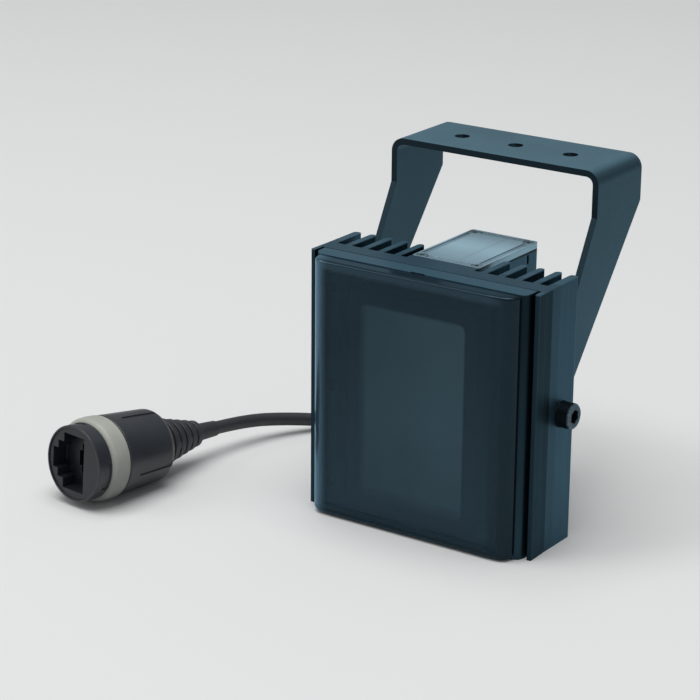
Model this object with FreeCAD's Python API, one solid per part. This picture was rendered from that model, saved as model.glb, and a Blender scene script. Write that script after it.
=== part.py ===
import FreeCAD, Part
import math
import os

from FreeCAD import Vector

# Infrared illuminator: a finned, extruded housing with a smoked window in front, a driver box behind,
# a folded U bracket that tilts about two side bolts, and a short network pigtail with a sealed socket.
# Millimetres. X runs across the unit, Y from front to back, Z up. The housing stands on Z 0, its middle
# plane is X 0, and Y 0 is the front edge of its side walls. Cutting shapes reach a millimetre or so past
# what they cut.

# Overall sizes
HOUSING_WIDTH = 100.6
HOUSING_HEIGHT = 104.2
WALL_DEPTH = 29.4
PRESS_GAP = 0.02
HALF_WIDTH = HOUSING_WIDTH / 2

# Heatsink extrusion
WALL_THICKNESS = 3.4
FRONT_WALL_THICKNESS = 1.6
BASE_FRONT_Y = 5.1
BASE_THICKNESS = 7.2
FIN_COUNT = 4
FIN_THICKNESS = 2.8
BOX_FIN_GAP = 2.9
ARM_FIN_GAP = 0.75
FIN_BACK_Y = 30.0
ROOT_RADIUS = 0.5
WALL_END_RADIUS = 1.45
FRONT_FLARE = 0.3
FRONT_FLARE_LENGTH = 10.3
PAD_DEPTH = 3.7
OUTER_EDGE_ROUND = 0.4
EDGE_ROUND = 0.3
WALL_INNER_X = HALF_WIDTH - WALL_THICKNESS
FRONT_WALL_INNER_X = HALF_WIDTH - FRONT_WALL_THICKNESS
BASE_BACK_Y = BASE_FRONT_Y + BASE_THICKNESS
PAD_BACK_Y = BASE_BACK_Y + PAD_DEPTH

# Front frame and its seal
FRAME_SIDE_GAP = 1.6
FRAME_FRONT_Y = -3.0
FRAME_SEAL_THICKNESS = 0.6
FRAME_SEAL_INSET = 0.5
FRAME_SIDE_BORDER = 11.1
FRAME_END_BORDER = 5.0
FRAME_OPENING_RADIUS = 2.0
FRAME_CORNER_RADIUS = 4.0
GROOVE_DEPTH = 2.5
GROOVE_CLEARANCE = 0.2
PRY_SLOT_LENGTH = 6.0
PRY_SLOT_WIDTH = 0.8
PRY_SLOT_DEPTH = 1.4
FRAME_HALF_WIDTH = FRONT_WALL_INNER_X - FRAME_SIDE_GAP
FRAME_BACK_Y = BASE_FRONT_Y - FRAME_SEAL_THICKNESS
FRAME_OPENING_HALF_WIDTH = FRAME_HALF_WIDTH - FRAME_SIDE_BORDER

# Window cover
WINDOW_SIDE_STEP = 2.1
WINDOW_END_GAP = 0.4
WINDOW_PROJECTION = 6.0
WINDOW_WALL = 2.2
WINDOW_CORNER_RADIUS = 5.4
WINDOW_CROWN_WIDTH = 10.0
WINDOW_CROWN_DROP = 0.5
WINDOW_CROWN_RADIUS = 100.0
WINDOW_TOP_ROUND = 1.2
WINDOW_BOTTOM_ROUND = 2.5
TONGUE_WALL = 1.2
TONGUE_INSET = 1.0
WINDOW_SEAL_THICKNESS = 0.6
WINDOW_HALF_WIDTH = FRAME_HALF_WIDTH - WINDOW_SIDE_STEP
WINDOW_FRONT_Y = FRAME_FRONT_Y - WINDOW_PROJECTION
GROOVE_FLOOR_Y = FRAME_FRONT_Y + GROOVE_DEPTH

# Light engine
BOARD_GAP = 1.2
BOARD_THICKNESS = 1.6
BOARD_CORNER_RADIUS = 1.5
BOARD_SCREW_STRIP = 6.0
BOARD_SCREW_EDGE = 1.5
PANEL_LOW_MARGIN = 10.5
PANEL_HIGH_MARGIN = 14.5
PANEL_THICKNESS = 2.0
PANEL_CORNER_RADIUS = 5.0
PANEL_WINDOW_GAP = 0.3
HOLDER_RIM = 5.0
HOLDER_LEDGE = 2.0
EMITTER_COLUMNS = 4
EMITTER_ROWS = 7
EMITTER_SIDE_MARGIN = 8.5
EMITTER_END_MARGIN = 7.0
EMITTER_SIDE = 3.5
EMITTER_BASE = 0.9
EMITTER_DOME_RADIUS = 1.5
LENS_RADIUS = 6.0
LENS_RISE = 1.6
LENS_SINK = 0.3
BOARD_HALF_WIDTH = FRAME_OPENING_HALF_WIDTH - BOARD_GAP
BOARD_END_MARGIN = FRAME_END_BORDER + BOARD_GAP
PANEL_HALF_WIDTH = BOARD_HALF_WIDTH - BOARD_SCREW_STRIP - HOLDER_RIM
PANEL_HIGH_Z = HOUSING_HEIGHT - PANEL_HIGH_MARGIN
EMITTER_X_PITCH = 2 * (PANEL_HALF_WIDTH - EMITTER_SIDE_MARGIN) / (EMITTER_COLUMNS - 1)
EMITTER_Z_PITCH = (PANEL_HIGH_Z - PANEL_LOW_MARGIN - 2 * EMITTER_END_MARGIN) / (EMITTER_ROWS - 1)
BOARD_FRONT_Y = BASE_FRONT_Y - BOARD_THICKNESS
PANEL_FRONT_Y = WINDOW_FRONT_Y + WINDOW_WALL + PANEL_WINDOW_GAP
PANEL_BACK_Y = PANEL_FRONT_Y + PANEL_THICKNESS

# Driver box behind the fins
BOX_WIDTH = 30.0
BOX_DEPTH = 43.5
BOX_WALL = 2.0
BOX_FRONT_WALL = 3.0
BOX_CORNER_RADIUS = 1.2
CAP_THICKNESS = 2.4
CAP_GASKET = 0.8
CAP_RIM = 1.0
CAP_BORDER = 3.4
CAP_CHANNEL_DEPTH = 0.4
CAP_SEAT_WALL = 0.6
SCREW_PORT_RADIUS = 2.2
SCREW_PORT_INSET = 2.8
SIDE_SLOT_LENGTH = 4.0
SIDE_SLOT_WIDTH = 1.4
SIDE_SLOT_DEPTH = 0.9
SIDE_SLOT_BACK = 7.0
SIDE_SLOT_END_GAP = 0.4
BOX_HALF_WIDTH = BOX_WIDTH / 2
BOX_FRONT_Y = PAD_BACK_Y
BOX_BACK_Y = BOX_FRONT_Y + BOX_DEPTH
CAP_END = CAP_THICKNESS + CAP_GASKET

# Driver electronics. Shares are of the housing's height, offsets are along Y from the card's middle, and
# sizes are across the card, away from it and along it.
CARD_X = -7.5
CARD_THICKNESS = 1.6
CARD_GROOVE_DEPTH = 1.0
CARD_GROOVE_CLEARANCE = 0.1
CARD_END_GAP = 1.0
TRANSFORMER_SHARE = 0.66
BOBBIN_SIZE = (15.0, 2.0, 17.0)
CORE_SIZE = (19.0, 11.0, 13.0)
CORE_WINDOW_SIZE = (13.0, 8.0, 14.0)
COIL_RADIUS = 6.4
COIL_LENGTH = 6.5
COIL_RISE = 1.5
CHOKE_SHARE = 0.40
CHOKE_OFFSET = 8.0
CHOKE_RADIUS = 4.2
CHOKE_TUBE_RADIUS = 2.2
CHOKE_RISE = 2.7
CHOKE_FOOT_SIZE = (9.0, 1.0, 9.0)
CAPACITOR_SHARE = 0.86
CAPACITOR_OFFSETS = (-9.0, 2.0, 12.0)
CAPACITOR_RADIUS = 4.0
CAPACITOR_LENGTH = 11.0
CAPACITOR_ROUND = 0.5
CHIPS = ((-10.0, 0.36, (6.0, 1.2, 6.0)), (-3.0, 0.30, (4.0, 1.2, 5.0)))
MAGNETICS_SHARE = 0.20
MAGNETICS_OFFSET = 1.0
MAGNETICS_SIZE = (16.0, 5.5, 12.0)
CARD_FACE_X = CARD_X + CARD_THICKNESS / 2

# Leads from the driver card to the emitter board
LEAD_X = -1.5
LEAD_SPACING = 3.4
LEAD_RADIUS = 0.8
BUSH_RADIUS = 4.0
TERMINAL_GAP = 2.0
TERMINAL_DEPTH = 7.0
TERMINAL_HALF_HEIGHT = 4.0
LEAD_GRIP = 4.0
LEAD_Z = HOUSING_HEIGHT / 2

# Screws
M3_RADIUS = 1.5
M3_HEAD_RADIUS = 2.75
M3_HEAD_HEIGHT = 1.9
M4_RADIUS = 2.0
M4_HEAD_RADIUS = 3.9
M4_HEAD_HEIGHT = 2.2
SCREW_CLEARANCE = 0.2
FRAME_SCREW_BITE = 5.0
FRAME_SCREW_END_SHARE = 0.12
BOARD_SCREW_BITE = 5.0
CAP_SCREW_RADIUS = 1.25
CAP_SCREW_HEAD_RADIUS = 2.0
CAP_SCREW_HEAD_HEIGHT = 1.5
CAP_SCREW_LENGTH = 9.0
CAP_SCREW_SINK = 0.1
BOX_SCREW_X = 4.2
BOX_SCREW_END_MARGIN = 14.0
KEY_DEPTH = 1.1
KEY_SHARE_OF_RADIUS = 1.35

# Bracket and its pivot bolts
PIVOT_SHARE_OF_HEIGHT = 0.507
ARM_BASE_GAP = 0.9
BRACKET_THICKNESS = 2.5
BRACKET_BEND_RADIUS = 3.0
BRACKET_REACH = 86.3
BRACKET_PLATE_WIDTH = 33.8
BRACKET_PLATE_BACK = 62.5
BRACKET_SHOULDER_DROP = 18.0
BRACKET_END_RADIUS = 6.6
BRACKET_HOLE_RADIUS = 3.0
BRACKET_HOLE_SPACING = 24.4
BRACKET_HOLE_COUNT = 3
ARM_WASHER_THICKNESS = 0.5
ARM_WASHER_RADIUS = 6.0
WALL_RUNNING_GAP = 0.05
BOLT_RADIUS = 3.0
BOLT_RUNNING_CLEARANCE = 0.08
BOLT_HEAD_RADIUS = 4.9
BOLT_HEAD_HEIGHT = 5.7
BOLT_HEAD_CHAMFER = 0.4
BOLT_KEY_ACROSS_FLATS = 5.0
BOLT_KEY_DEPTH = 3.0
BOLT_END_CLEARANCE = 0.5
LOCK_WASHER_THICKNESS = 1.0
LOCK_WASHER_RADIUS = 4.8
LOCK_WASHER_SPLIT = 1.0
SPOT_FACE_RADIUS = 5.2
SPOT_FACE_DEPTH = 1.0
SEAT_X = HALF_WIDTH - SPOT_FACE_DEPTH
PIVOT_Y = BASE_BACK_Y + ARM_BASE_GAP + BRACKET_END_RADIUS
PIVOT_Z = HOUSING_HEIGHT * PIVOT_SHARE_OF_HEIGHT
ARM_OUTER_X = WALL_INNER_X - WALL_RUNNING_GAP - ARM_WASHER_THICKNESS
ARM_INNER_X = ARM_OUTER_X - BRACKET_THICKNESS
OUTER_FIN_X = ARM_INNER_X - ARM_FIN_GAP
FIN_PITCH = (OUTER_FIN_X - FIN_THICKNESS - BOX_HALF_WIDTH - BOX_FIN_GAP) / (FIN_COUNT - 1)
BRACKET_TOP_Z = PIVOT_Z + BRACKET_REACH
PLATE_BACK_Y = PIVOT_Y + BRACKET_PLATE_BACK
PLATE_FRONT_Y = PLATE_BACK_Y - BRACKET_PLATE_WIDTH

# Cable gland on the back of the driver box
CABLE_RADIUS = 2.75
GLAND_X = 1.2
GLAND_Z = 16.0
GLAND_ACROSS_FLATS = 15.0
GLAND_THREAD_RADIUS = 6.0
GLAND_HEX_LENGTH = 4.5
GLAND_NUT_LENGTH = 12.5
GLAND_LOCKNUT_LENGTH = 3.0
GLAND_SEAL_RADIUS = 4.6
GLAND_SEAL_LENGTH = 8.0
GLAND_SEAL_SINK = 1.0
GLAND_BORE_CLEARANCE = 0.5
GLAND_THREAD_END = 0.5
GLAND_GRIP_SHARE = 0.55
GLAND_DOME_END_RADIUS = 5.0
GLAND_NUT_LAP = 6.0
CABLE_INSIDE = 7.0
GLAND_END_Y = BOX_BACK_Y + GLAND_HEX_LENGTH + GLAND_NUT_LENGTH

# Free cable: the route's points, chosen by hand, from the gland to the socket's strain relief
CABLE_STRAIGHT_RUN = 18.0
CABLE_POINTS = [
    (-4.5, 113.0, 12.4),
    (-18.5, 127.0, 7.4),
    (-39.0, 131.5, 4.0),
    (-60.0, 125.5, 2.9),
    (-75.0, 109.5, 2.8),
    (-82.5, 89.5, 2.8),
    (-91.0, 71.0, 3.8),
    (-102.5, 54.5, 7.0),
]
ARC_SHARE = 0.45

# Sealed network socket lying on the ground; its own axis runs backward from the centre of its front face
SOCKET_TAIL = (-112.0, 18.0)
SOCKET_HEADING = 262.0
BARREL_RADIUS = 15.3
BARREL_LENGTH = 6.6
BARREL_WALL = 0.8
RING_PROUD = 1.6
RING_LENGTH = 9.0
RING_SEAT_DEPTH = 0.7
RING_FRONT_ROUND = 2.2
RING_BACK_ROUND = 1.2
RING_CROWN = 0.2
RING_CROWN_ROUND = 0.4
RING_CROWN_HALF_WIDTH = 0.5
SHELL_PROUD = 1.2
SHELL_TAPER = 1.8
SHELL_LENGTH = 27.0
SHELL_BACK_ROUND = 4.0
SHELL_CAVITY_RADIUS = 11.0
SHELL_BACK_WALL = 4.0
SHELL_FRONT_ROUND = 0.6
SHELL_CAVITY_ROUND = 1.0
SHELL_FLUTE_COUNT = 4
SHELL_FLUTE_FIRST = -15.0
SHELL_FLUTE_START = 5.7
SHELL_FLUTE_LENGTH = 19.0
SHELL_FLUTE_WIDTH = 2.4
SHELL_FLUTE_DEPTH = 0.5
RELIEF_RIB_RADIUS = 10.5
RELIEF_RIB_END_RADIUS = 5.7
RELIEF_RIB_COUNT = 6
RELIEF_RIB_PITCH = 4.1
RELIEF_RIB_LEAN = 0.3
RELIEF_RIB_FRONT_ROUND = 0.4
RELIEF_RIB_BACK_ROUND = 0.7
RELIEF_GROOVE = 1.2
RELIEF_GROOVE_SHARE = 0.74
RELIEF_WEB_WIDTH = 2.4
RELIEF_WEB_TURN = 90.0
RELIEF_SPIGOT_RADIUS = 5.0
RELIEF_TAPER_RADIUS = 3.7
RELIEF_TAPER_ROUND = 0.6
RELIEF_END_RADIUS = 3.2
RELIEF_TAPER_LENGTH = 10.2
INSERT_RECESS = 0.5
INSERT_LENGTH = 19.0
INSERT_STEP = 1.2
INSERT_SEAT_DEPTH = 1.0
MOUTH_HALF_WIDTH = 11.3
MOUTH_NEAR = 5.4
MOUTH_FAR = 6.4
MOUTH_STEPS = ((7.5, 9.6), (4.2, 12.4))
MOUTH_DEPTH = 7.0
JACK_HALF_WIDTH = 5.95
JACK_NEAR = 3.6
JACK_FAR = 3.2
JACK_STEPS = ((3.1, 4.7),)
JACK_DEPTH = 9.0
CONTACT_COUNT = 8
CONTACT_PITCH = 1.02
CONTACT_SIZE = 0.4
CONTACT_LENGTH = 8.0
CONTACT_RISE = 2.4
LATCH_RECESS_COUNT = 3
LATCH_RECESS_FIRST = -3.0
LATCH_RECESS_SPAN = 44.0
LATCH_RECESS_LENGTH = 3.0
LATCH_RECESS_GAP = 0.4
LATCH_RECESS_DEPTH = 0.5
GROUND_CLEARANCE = 0.03
BARREL_BORE = BARREL_RADIUS - BARREL_WALL
INSERT_STEM_RADIUS = BARREL_BORE - INSERT_STEP
INSERT_SEAT_X = -BARREL_LENGTH - INSERT_SEAT_DEPTH
RING_RADIUS = BARREL_RADIUS + RING_PROUD
RING_CORE_RADIUS = BARREL_RADIUS - RING_SEAT_DEPTH
SHELL_FRONT_RADIUS = BARREL_RADIUS + SHELL_PROUD
SHELL_BACK_RADIUS = SHELL_FRONT_RADIUS - SHELL_TAPER
RING_MIDDLE = BARREL_LENGTH + RING_LENGTH / 2
SHELL_BACK = BARREL_LENGTH + RING_LENGTH + SHELL_LENGTH
SHELL_HEEL = SHELL_BACK - SHELL_BACK_ROUND
RIBS_LENGTH = RELIEF_RIB_COUNT * RELIEF_RIB_PITCH
SOCKET_LENGTH = SHELL_BACK + RIBS_LENGTH + RELIEF_TAPER_LENGTH

AXIS_X = Vector(1, 0, 0)
AXIS_Y = Vector(0, 1, 0)
AXIS_Z = Vector(0, 0, 1)


def box(x0, x1, y0, y1, z0, z1):
    return Part.makeBox(x1 - x0, y1 - y0, z1 - z0, Vector(x0, y0, z0))


def rod(x, y, z, axis, radius, length):
    return Part.makeCylinder(radius, length, Vector(x, y, z), axis)


def cone(x, y, z, axis, radius, end_radius, length):
    return Part.makeCone(radius, end_radius, length, Vector(x, y, z), axis)


def both_sides(shape):
    return [shape, shape.mirror(Vector(0, 0, 0), AXIS_X)]


def joined(shapes):
    return shapes[0].fuse(shapes[1:]).removeSplitter()


def rounded_edges(corners, lift):
    """Edges of a closed outline. Each corner is (u, v, radius), and lift turns (u, v) into a point."""
    count = len(corners)
    runs = []
    for i in range(count):
        u, v, radius = corners[i]
        here = Vector(u, v, 0)
        back = Vector(corners[i - 1][0], corners[i - 1][1], 0) - here
        ahead = Vector(corners[(i + 1) % count][0], corners[(i + 1) % count][1], 0) - here
        back.normalize()
        ahead.normalize()
        if radius <= 0:
            runs.append((here, None, here))
            continue
        half = back.getAngle(ahead) / 2
        reach = radius / math.tan(half)
        bisector = back + ahead
        bisector.normalize()
        middle = here + bisector * (radius / math.sin(half) - radius)
        runs.append((here + back * reach, middle, here + ahead * reach))
    edges = []
    for i in range(count):
        start, middle, end = runs[i]
        after = runs[(i + 1) % count][0]
        if middle is not None:
            edges.append(Part.Arc(lift(start), lift(middle), lift(end)).toShape())
        if end.distanceToPoint(after) > 1e-6:
            edges.append(Part.LineSegment(lift(end), lift(after)).toShape())
    return edges


def plan(point):
    return Vector(point.x, point.y, 0)


def prism(corners, lift, sweep):
    face = Part.Face(Part.Wire(rounded_edges(corners, lift)))
    return face.extrude(sweep)


def rounded_block(x0, x1, y0, y1, z0, z1, radius):
    """A block whose four edges along Y are rounded."""
    corners = [(x0, z0, radius), (x1, z0, radius), (x1, z1, radius), (x0, z1, radius)]
    return prism(corners, lambda p: Vector(p.x, y0, p.y), Vector(0, y1 - y0, 0))


def revolved(corners):
    """A body turned about X from an outline of (x, distance from the axis, corner radius)."""
    face = Part.Face(Part.Wire(rounded_edges(corners, lambda p: Vector(p.x, 0, p.y))))
    return face.revolve(Vector(0, 0, 0), AXIS_X, 360)


def hexagon(x, y, z, axis_y, across_flats, length):
    """A hexagonal prism along Y, or along X, with flats on its two sides."""
    radius = across_flats / math.sqrt(3)
    points = []
    for i in range(7):
        angle = math.radians(60 * i + 30)
        across = radius * math.cos(angle)
        rise = radius * math.sin(angle)
        if axis_y:
            points.append(Vector(x + across, y, z + rise))
        else:
            points.append(Vector(x, y + across, z + rise))
    direction = AXIS_Y if axis_y else AXIS_X
    return Part.Face(Part.makePolygon(points)).extrude(direction * length)


def ring_block(outer, inner, y0, y1):
    """A flat rectangular ring. outer and inner are (half width, low z, high z)."""
    body = box(-outer[0], outer[0], y0, y1, outer[1], outer[2])
    return body.cut(box(-inner[0], inner[0], y0 - 1, y1 + 1, inner[1], inner[2]))


def fin_faces():
    """Outer and inner face of each fin on the right, from the side wall inward."""
    faces = []
    for i in range(FIN_COUNT):
        outer = OUTER_FIN_X - i * FIN_PITCH
        faces.append((outer, outer - FIN_THICKNESS))
    return faces


def heatsink_section():
    right = [
        (FRONT_WALL_INNER_X, BASE_FRONT_Y, 0),
        (FRONT_WALL_INNER_X, 0, EDGE_ROUND),
        (HALF_WIDTH + FRONT_FLARE, 0, OUTER_EDGE_ROUND),
        (HALF_WIDTH, FRONT_FLARE_LENGTH, 0),
        (HALF_WIDTH, WALL_DEPTH, WALL_END_RADIUS),
        (WALL_INNER_X, WALL_DEPTH, WALL_END_RADIUS),
        (WALL_INNER_X, BASE_BACK_Y, ROOT_RADIUS),
    ]
    tip = FIN_THICKNESS / 2 - PRESS_GAP
    for outer, inner in fin_faces():
        right += [
            (outer, BASE_BACK_Y, ROOT_RADIUS),
            (outer, FIN_BACK_Y, tip),
            (inner, FIN_BACK_Y, tip),
            (inner, BASE_BACK_Y, ROOT_RADIUS),
        ]
    right += [(BOX_HALF_WIDTH, BASE_BACK_Y, ROOT_RADIUS), (BOX_HALF_WIDTH, PAD_BACK_Y, EDGE_ROUND)]
    left = [(-x, y, radius) for x, y, radius in reversed(right)]
    return right + left


def frame_screw_places():
    x = (FRAME_OPENING_HALF_WIDTH + WINDOW_HALF_WIDTH - TONGUE_INSET - TONGUE_WALL - GROOVE_CLEARANCE) / 2
    margin = HOUSING_HEIGHT * FRAME_SCREW_END_SHARE
    heights = (margin, HOUSING_HEIGHT / 2, HOUSING_HEIGHT - margin)
    return [(side * x, z) for side in (-1, 1) for z in heights]


def board_screw_places():
    x = BOARD_HALF_WIDTH - BOARD_SCREW_STRIP / 2
    low = BOARD_END_MARGIN + M3_HEAD_RADIUS + BOARD_SCREW_EDGE
    return [(side * x, z) for side in (-1, 1) for z in (low, HOUSING_HEIGHT - low)]


def box_screw_places():
    return [
        (side * BOX_SCREW_X, z)
        for side in (-1, 1)
        for z in (BOX_SCREW_END_MARGIN, HOUSING_HEIGHT - BOX_SCREW_END_MARGIN)
    ]


def screw(x, y, z, radius, length, head_radius, head_height, countersunk=False):
    """A screw driven toward +Y, with the top of its head at y and a hexagonal key socket."""
    if countersunk:
        head = cone(x, y, z, AXIS_Y, head_radius, radius, head_height)
    else:
        head = rod(x, y, z, AXIS_Y, head_radius, head_height)
    shank = rod(x, y + head_height, z, AXIS_Y, radius, length - head_height)
    key = hexagon(x, y - 1, z, True, radius * KEY_SHARE_OF_RADIUS, 1 + KEY_DEPTH)
    return joined([head, shank]).cut(key)


def heatsink():
    body = prism(heatsink_section(), plan, Vector(0, 0, HOUSING_HEIGHT))
    cuts = [rod(LEAD_X, BASE_FRONT_Y - 1, LEAD_Z, AXIS_Y, BUSH_RADIUS, BASE_THICKNESS + PAD_DEPTH + 2)]
    for x, z in frame_screw_places():
        cuts.append(rod(x, BASE_FRONT_Y - 1, z, AXIS_Y, M3_RADIUS, 1 + FRAME_SCREW_BITE))
    for x, z in board_screw_places():
        cuts.append(rod(x, BASE_FRONT_Y - 1, z, AXIS_Y, M3_RADIUS, 1 + BOARD_SCREW_BITE))
    for x, z in box_screw_places():
        cuts.append(rod(x, BASE_FRONT_Y - 1, z, AXIS_Y, M4_RADIUS, BASE_THICKNESS + PAD_DEPTH + 2))
        cuts.append(cone(x, BASE_FRONT_Y, z, AXIS_Y, M4_HEAD_RADIUS, M4_RADIUS, M4_HEAD_HEIGHT))
    spot = rod(SEAT_X, PIVOT_Y, PIVOT_Z, AXIS_X, SPOT_FACE_RADIUS, SPOT_FACE_DEPTH + 1)
    bore = rod(WALL_INNER_X - 1, PIVOT_Y, PIVOT_Z, AXIS_X, BOLT_RADIUS + BOLT_RUNNING_CLEARANCE,
               WALL_THICKNESS + 2)
    for tool in (spot, bore):
        cuts += both_sides(tool)
    return body.cut(cuts)


def tongue_ring(extra=0.0):
    """Outer and inner rectangle of the window's tongue, grown by a clearance for its groove."""
    outer = (
        WINDOW_HALF_WIDTH - TONGUE_INSET + extra,
        WINDOW_END_GAP + TONGUE_INSET - extra,
        HOUSING_HEIGHT - WINDOW_END_GAP - TONGUE_INSET + extra,
    )
    inner = (
        outer[0] - TONGUE_WALL - 2 * extra,
        outer[1] + TONGUE_WALL + 2 * extra,
        outer[2] - TONGUE_WALL - 2 * extra,
    )
    return outer, inner


def front_frame():
    corners = [
        (-FRAME_HALF_WIDTH, FRAME_BACK_Y, 0),
        (FRAME_HALF_WIDTH, FRAME_BACK_Y, 0),
        (FRAME_HALF_WIDTH, FRAME_FRONT_Y, FRAME_CORNER_RADIUS),
        (-FRAME_HALF_WIDTH, FRAME_FRONT_Y, FRAME_CORNER_RADIUS),
    ]
    body = prism(corners, plan, Vector(0, 0, HOUSING_HEIGHT))
    opening = rounded_block(-FRAME_OPENING_HALF_WIDTH, FRAME_OPENING_HALF_WIDTH, FRAME_FRONT_Y - 1,
                            FRAME_BACK_Y + 1, FRAME_END_BORDER, HOUSING_HEIGHT - FRAME_END_BORDER,
                            FRAME_OPENING_RADIUS)
    outer, inner = tongue_ring(GROOVE_CLEARANCE)
    cuts = [opening, ring_block(outer, inner, FRAME_FRONT_Y - 1, GROOVE_FLOOR_Y)]
    cuts.append(box(-PRY_SLOT_LENGTH / 2, PRY_SLOT_LENGTH / 2, FRAME_FRONT_Y - 1,
                    FRAME_FRONT_Y + PRY_SLOT_WIDTH, HOUSING_HEIGHT - PRY_SLOT_DEPTH, HOUSING_HEIGHT + 1))
    depth = FRAME_BACK_Y - FRAME_FRONT_Y
    for x, z in frame_screw_places():
        cuts.append(rod(x, FRAME_FRONT_Y - 1, z, AXIS_Y, M3_RADIUS + SCREW_CLEARANCE, depth + 2))
        cuts.append(rod(x, FRAME_FRONT_Y - 1, z, AXIS_Y, M3_HEAD_RADIUS + SCREW_CLEARANCE,
                        1 + M3_HEAD_HEIGHT))
    return body.cut(cuts)


def window_outline(back_y, inset):
    """The window's plan, moved inward by inset. Its front falls back a little toward rounded corners."""
    half = WINDOW_HALF_WIDTH - inset
    front = WINDOW_FRONT_Y + inset
    right = [
        (half, back_y, 0),
        (half, front + WINDOW_CROWN_DROP, WINDOW_CORNER_RADIUS - inset),
        (WINDOW_HALF_WIDTH - WINDOW_CROWN_WIDTH, front, WINDOW_CROWN_RADIUS),
    ]
    left = [(-x, y, radius) for x, y, radius in reversed(right)]
    return right + left


def front_window():
    low = WINDOW_END_GAP
    high = HOUSING_HEIGHT - WINDOW_END_GAP
    body = prism(window_outline(FRAME_FRONT_Y, 0), plan, Vector(0, 0, high - low))
    body.translate(Vector(0, 0, low))
    for level, radius in ((high, WINDOW_TOP_ROUND), (low, WINDOW_BOTTOM_ROUND)):
        rim = [
            edge
            for edge in body.Edges
            if all(abs(vertex.Z - level) < 1e-6 for vertex in edge.Vertexes)
            and edge.BoundBox.YMin < FRAME_FRONT_Y - 0.1
        ]
        body = body.makeFillet(radius, rim)
    inside = window_outline(FRAME_FRONT_Y + 1, WINDOW_WALL)
    cavity = prism(inside, plan, Vector(0, 0, high - low - 2 * WINDOW_WALL))
    cavity.translate(Vector(0, 0, low + WINDOW_WALL))
    outer, inner = tongue_ring()
    tongue = ring_block(outer, inner, FRAME_FRONT_Y, GROOVE_FLOOR_Y - WINDOW_SEAL_THICKNESS)
    return joined([body.cut(cavity), tongue])


def window_seal():
    outer, inner = tongue_ring()
    return ring_block(outer, inner, GROOVE_FLOOR_Y - WINDOW_SEAL_THICKNESS, GROOVE_FLOOR_Y)


def frame_seal():
    outer = (FRAME_HALF_WIDTH - FRAME_SEAL_INSET, FRAME_SEAL_INSET, HOUSING_HEIGHT - FRAME_SEAL_INSET)
    inner = (FRAME_OPENING_HALF_WIDTH, FRAME_END_BORDER, HOUSING_HEIGHT - FRAME_END_BORDER)
    ring = ring_block(outer, inner, FRAME_BACK_Y, BASE_FRONT_Y)
    holes = [
        rod(x, FRAME_BACK_Y - 1, z, AXIS_Y, M3_RADIUS + SCREW_CLEARANCE, FRAME_SEAL_THICKNESS + 2)
        for x, z in frame_screw_places()
    ]
    return ring.cut(holes)


def led_board():
    board = rounded_block(-BOARD_HALF_WIDTH, BOARD_HALF_WIDTH, BOARD_FRONT_Y, BASE_FRONT_Y, BOARD_END_MARGIN,
                          HOUSING_HEIGHT - BOARD_END_MARGIN, BOARD_CORNER_RADIUS)
    holes = [
        rod(x, BOARD_FRONT_Y - 1, z, AXIS_Y, M3_RADIUS + SCREW_CLEARANCE, BOARD_THICKNESS + 2)
        for x, z in board_screw_places()
    ]
    return board.cut(holes)


def emitter_places():
    places = []
    for row in range(EMITTER_ROWS):
        for column in range(EMITTER_COLUMNS):
            x = (column - (EMITTER_COLUMNS - 1) / 2) * EMITTER_X_PITCH
            z = PANEL_LOW_MARGIN + EMITTER_END_MARGIN + row * EMITTER_Z_PITCH
            places.append((x, z))
    return places


def led_emitters():
    half = EMITTER_SIDE / 2
    face = BOARD_FRONT_Y - EMITTER_BASE
    emitters = []
    for x, z in emitter_places():
        base = box(x - half, x + half, face, BOARD_FRONT_Y, z - half, z + half)
        dome = Part.makeSphere(EMITTER_DOME_RADIUS, Vector(x, face, z))
        above = box(x - half, x + half, face - half, face, z - half, z + half)
        emitters.append(joined([base, dome.common(above)]))
    return Part.makeCompound(emitters)


def panel_block(y0, y1, grow):
    """A rounded block as large as the lens panel, or larger all round by grow."""
    half = PANEL_HALF_WIDTH + grow
    return rounded_block(-half, half, y0, y1, PANEL_LOW_MARGIN - grow, PANEL_HIGH_Z + grow,
                         PANEL_CORNER_RADIUS)


def lens_plate():
    plate = panel_block(PANEL_FRONT_Y, PANEL_BACK_Y, 0)
    centre_y = PANEL_BACK_Y + LENS_RISE - LENS_RADIUS
    behind = box(-PANEL_HALF_WIDTH, PANEL_HALF_WIDTH, PANEL_BACK_Y - LENS_SINK, PANEL_BACK_Y + LENS_RADIUS,
                 PANEL_LOW_MARGIN, PANEL_HIGH_Z)
    caps = [Part.makeSphere(LENS_RADIUS, Vector(x, centre_y, z)).common(behind) for x, z in emitter_places()]
    return joined([plate] + caps)


def lens_holder():
    block = panel_block(PANEL_FRONT_Y, BOARD_FRONT_Y, HOLDER_RIM)
    seat = panel_block(PANEL_FRONT_Y - 1, PANEL_BACK_Y, 0)
    well = panel_block(PANEL_BACK_Y - 1, BOARD_FRONT_Y + 1, -HOLDER_LEDGE)
    return block.cut([seat, well])


def board_screws():
    length = M3_HEAD_HEIGHT + BOARD_THICKNESS + BOARD_SCREW_BITE
    top = BOARD_FRONT_Y - M3_HEAD_HEIGHT
    return Part.makeCompound([
        screw(x, top, z, M3_RADIUS, length, M3_HEAD_RADIUS, M3_HEAD_HEIGHT) for x, z in board_screw_places()
    ])


def frame_screws():
    length = BASE_FRONT_Y + FRAME_SCREW_BITE - FRAME_FRONT_Y
    return Part.makeCompound([
        screw(x, FRAME_FRONT_Y, z, M3_RADIUS, length, M3_HEAD_RADIUS, M3_HEAD_HEIGHT)
        for x, z in frame_screw_places()
    ])


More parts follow.
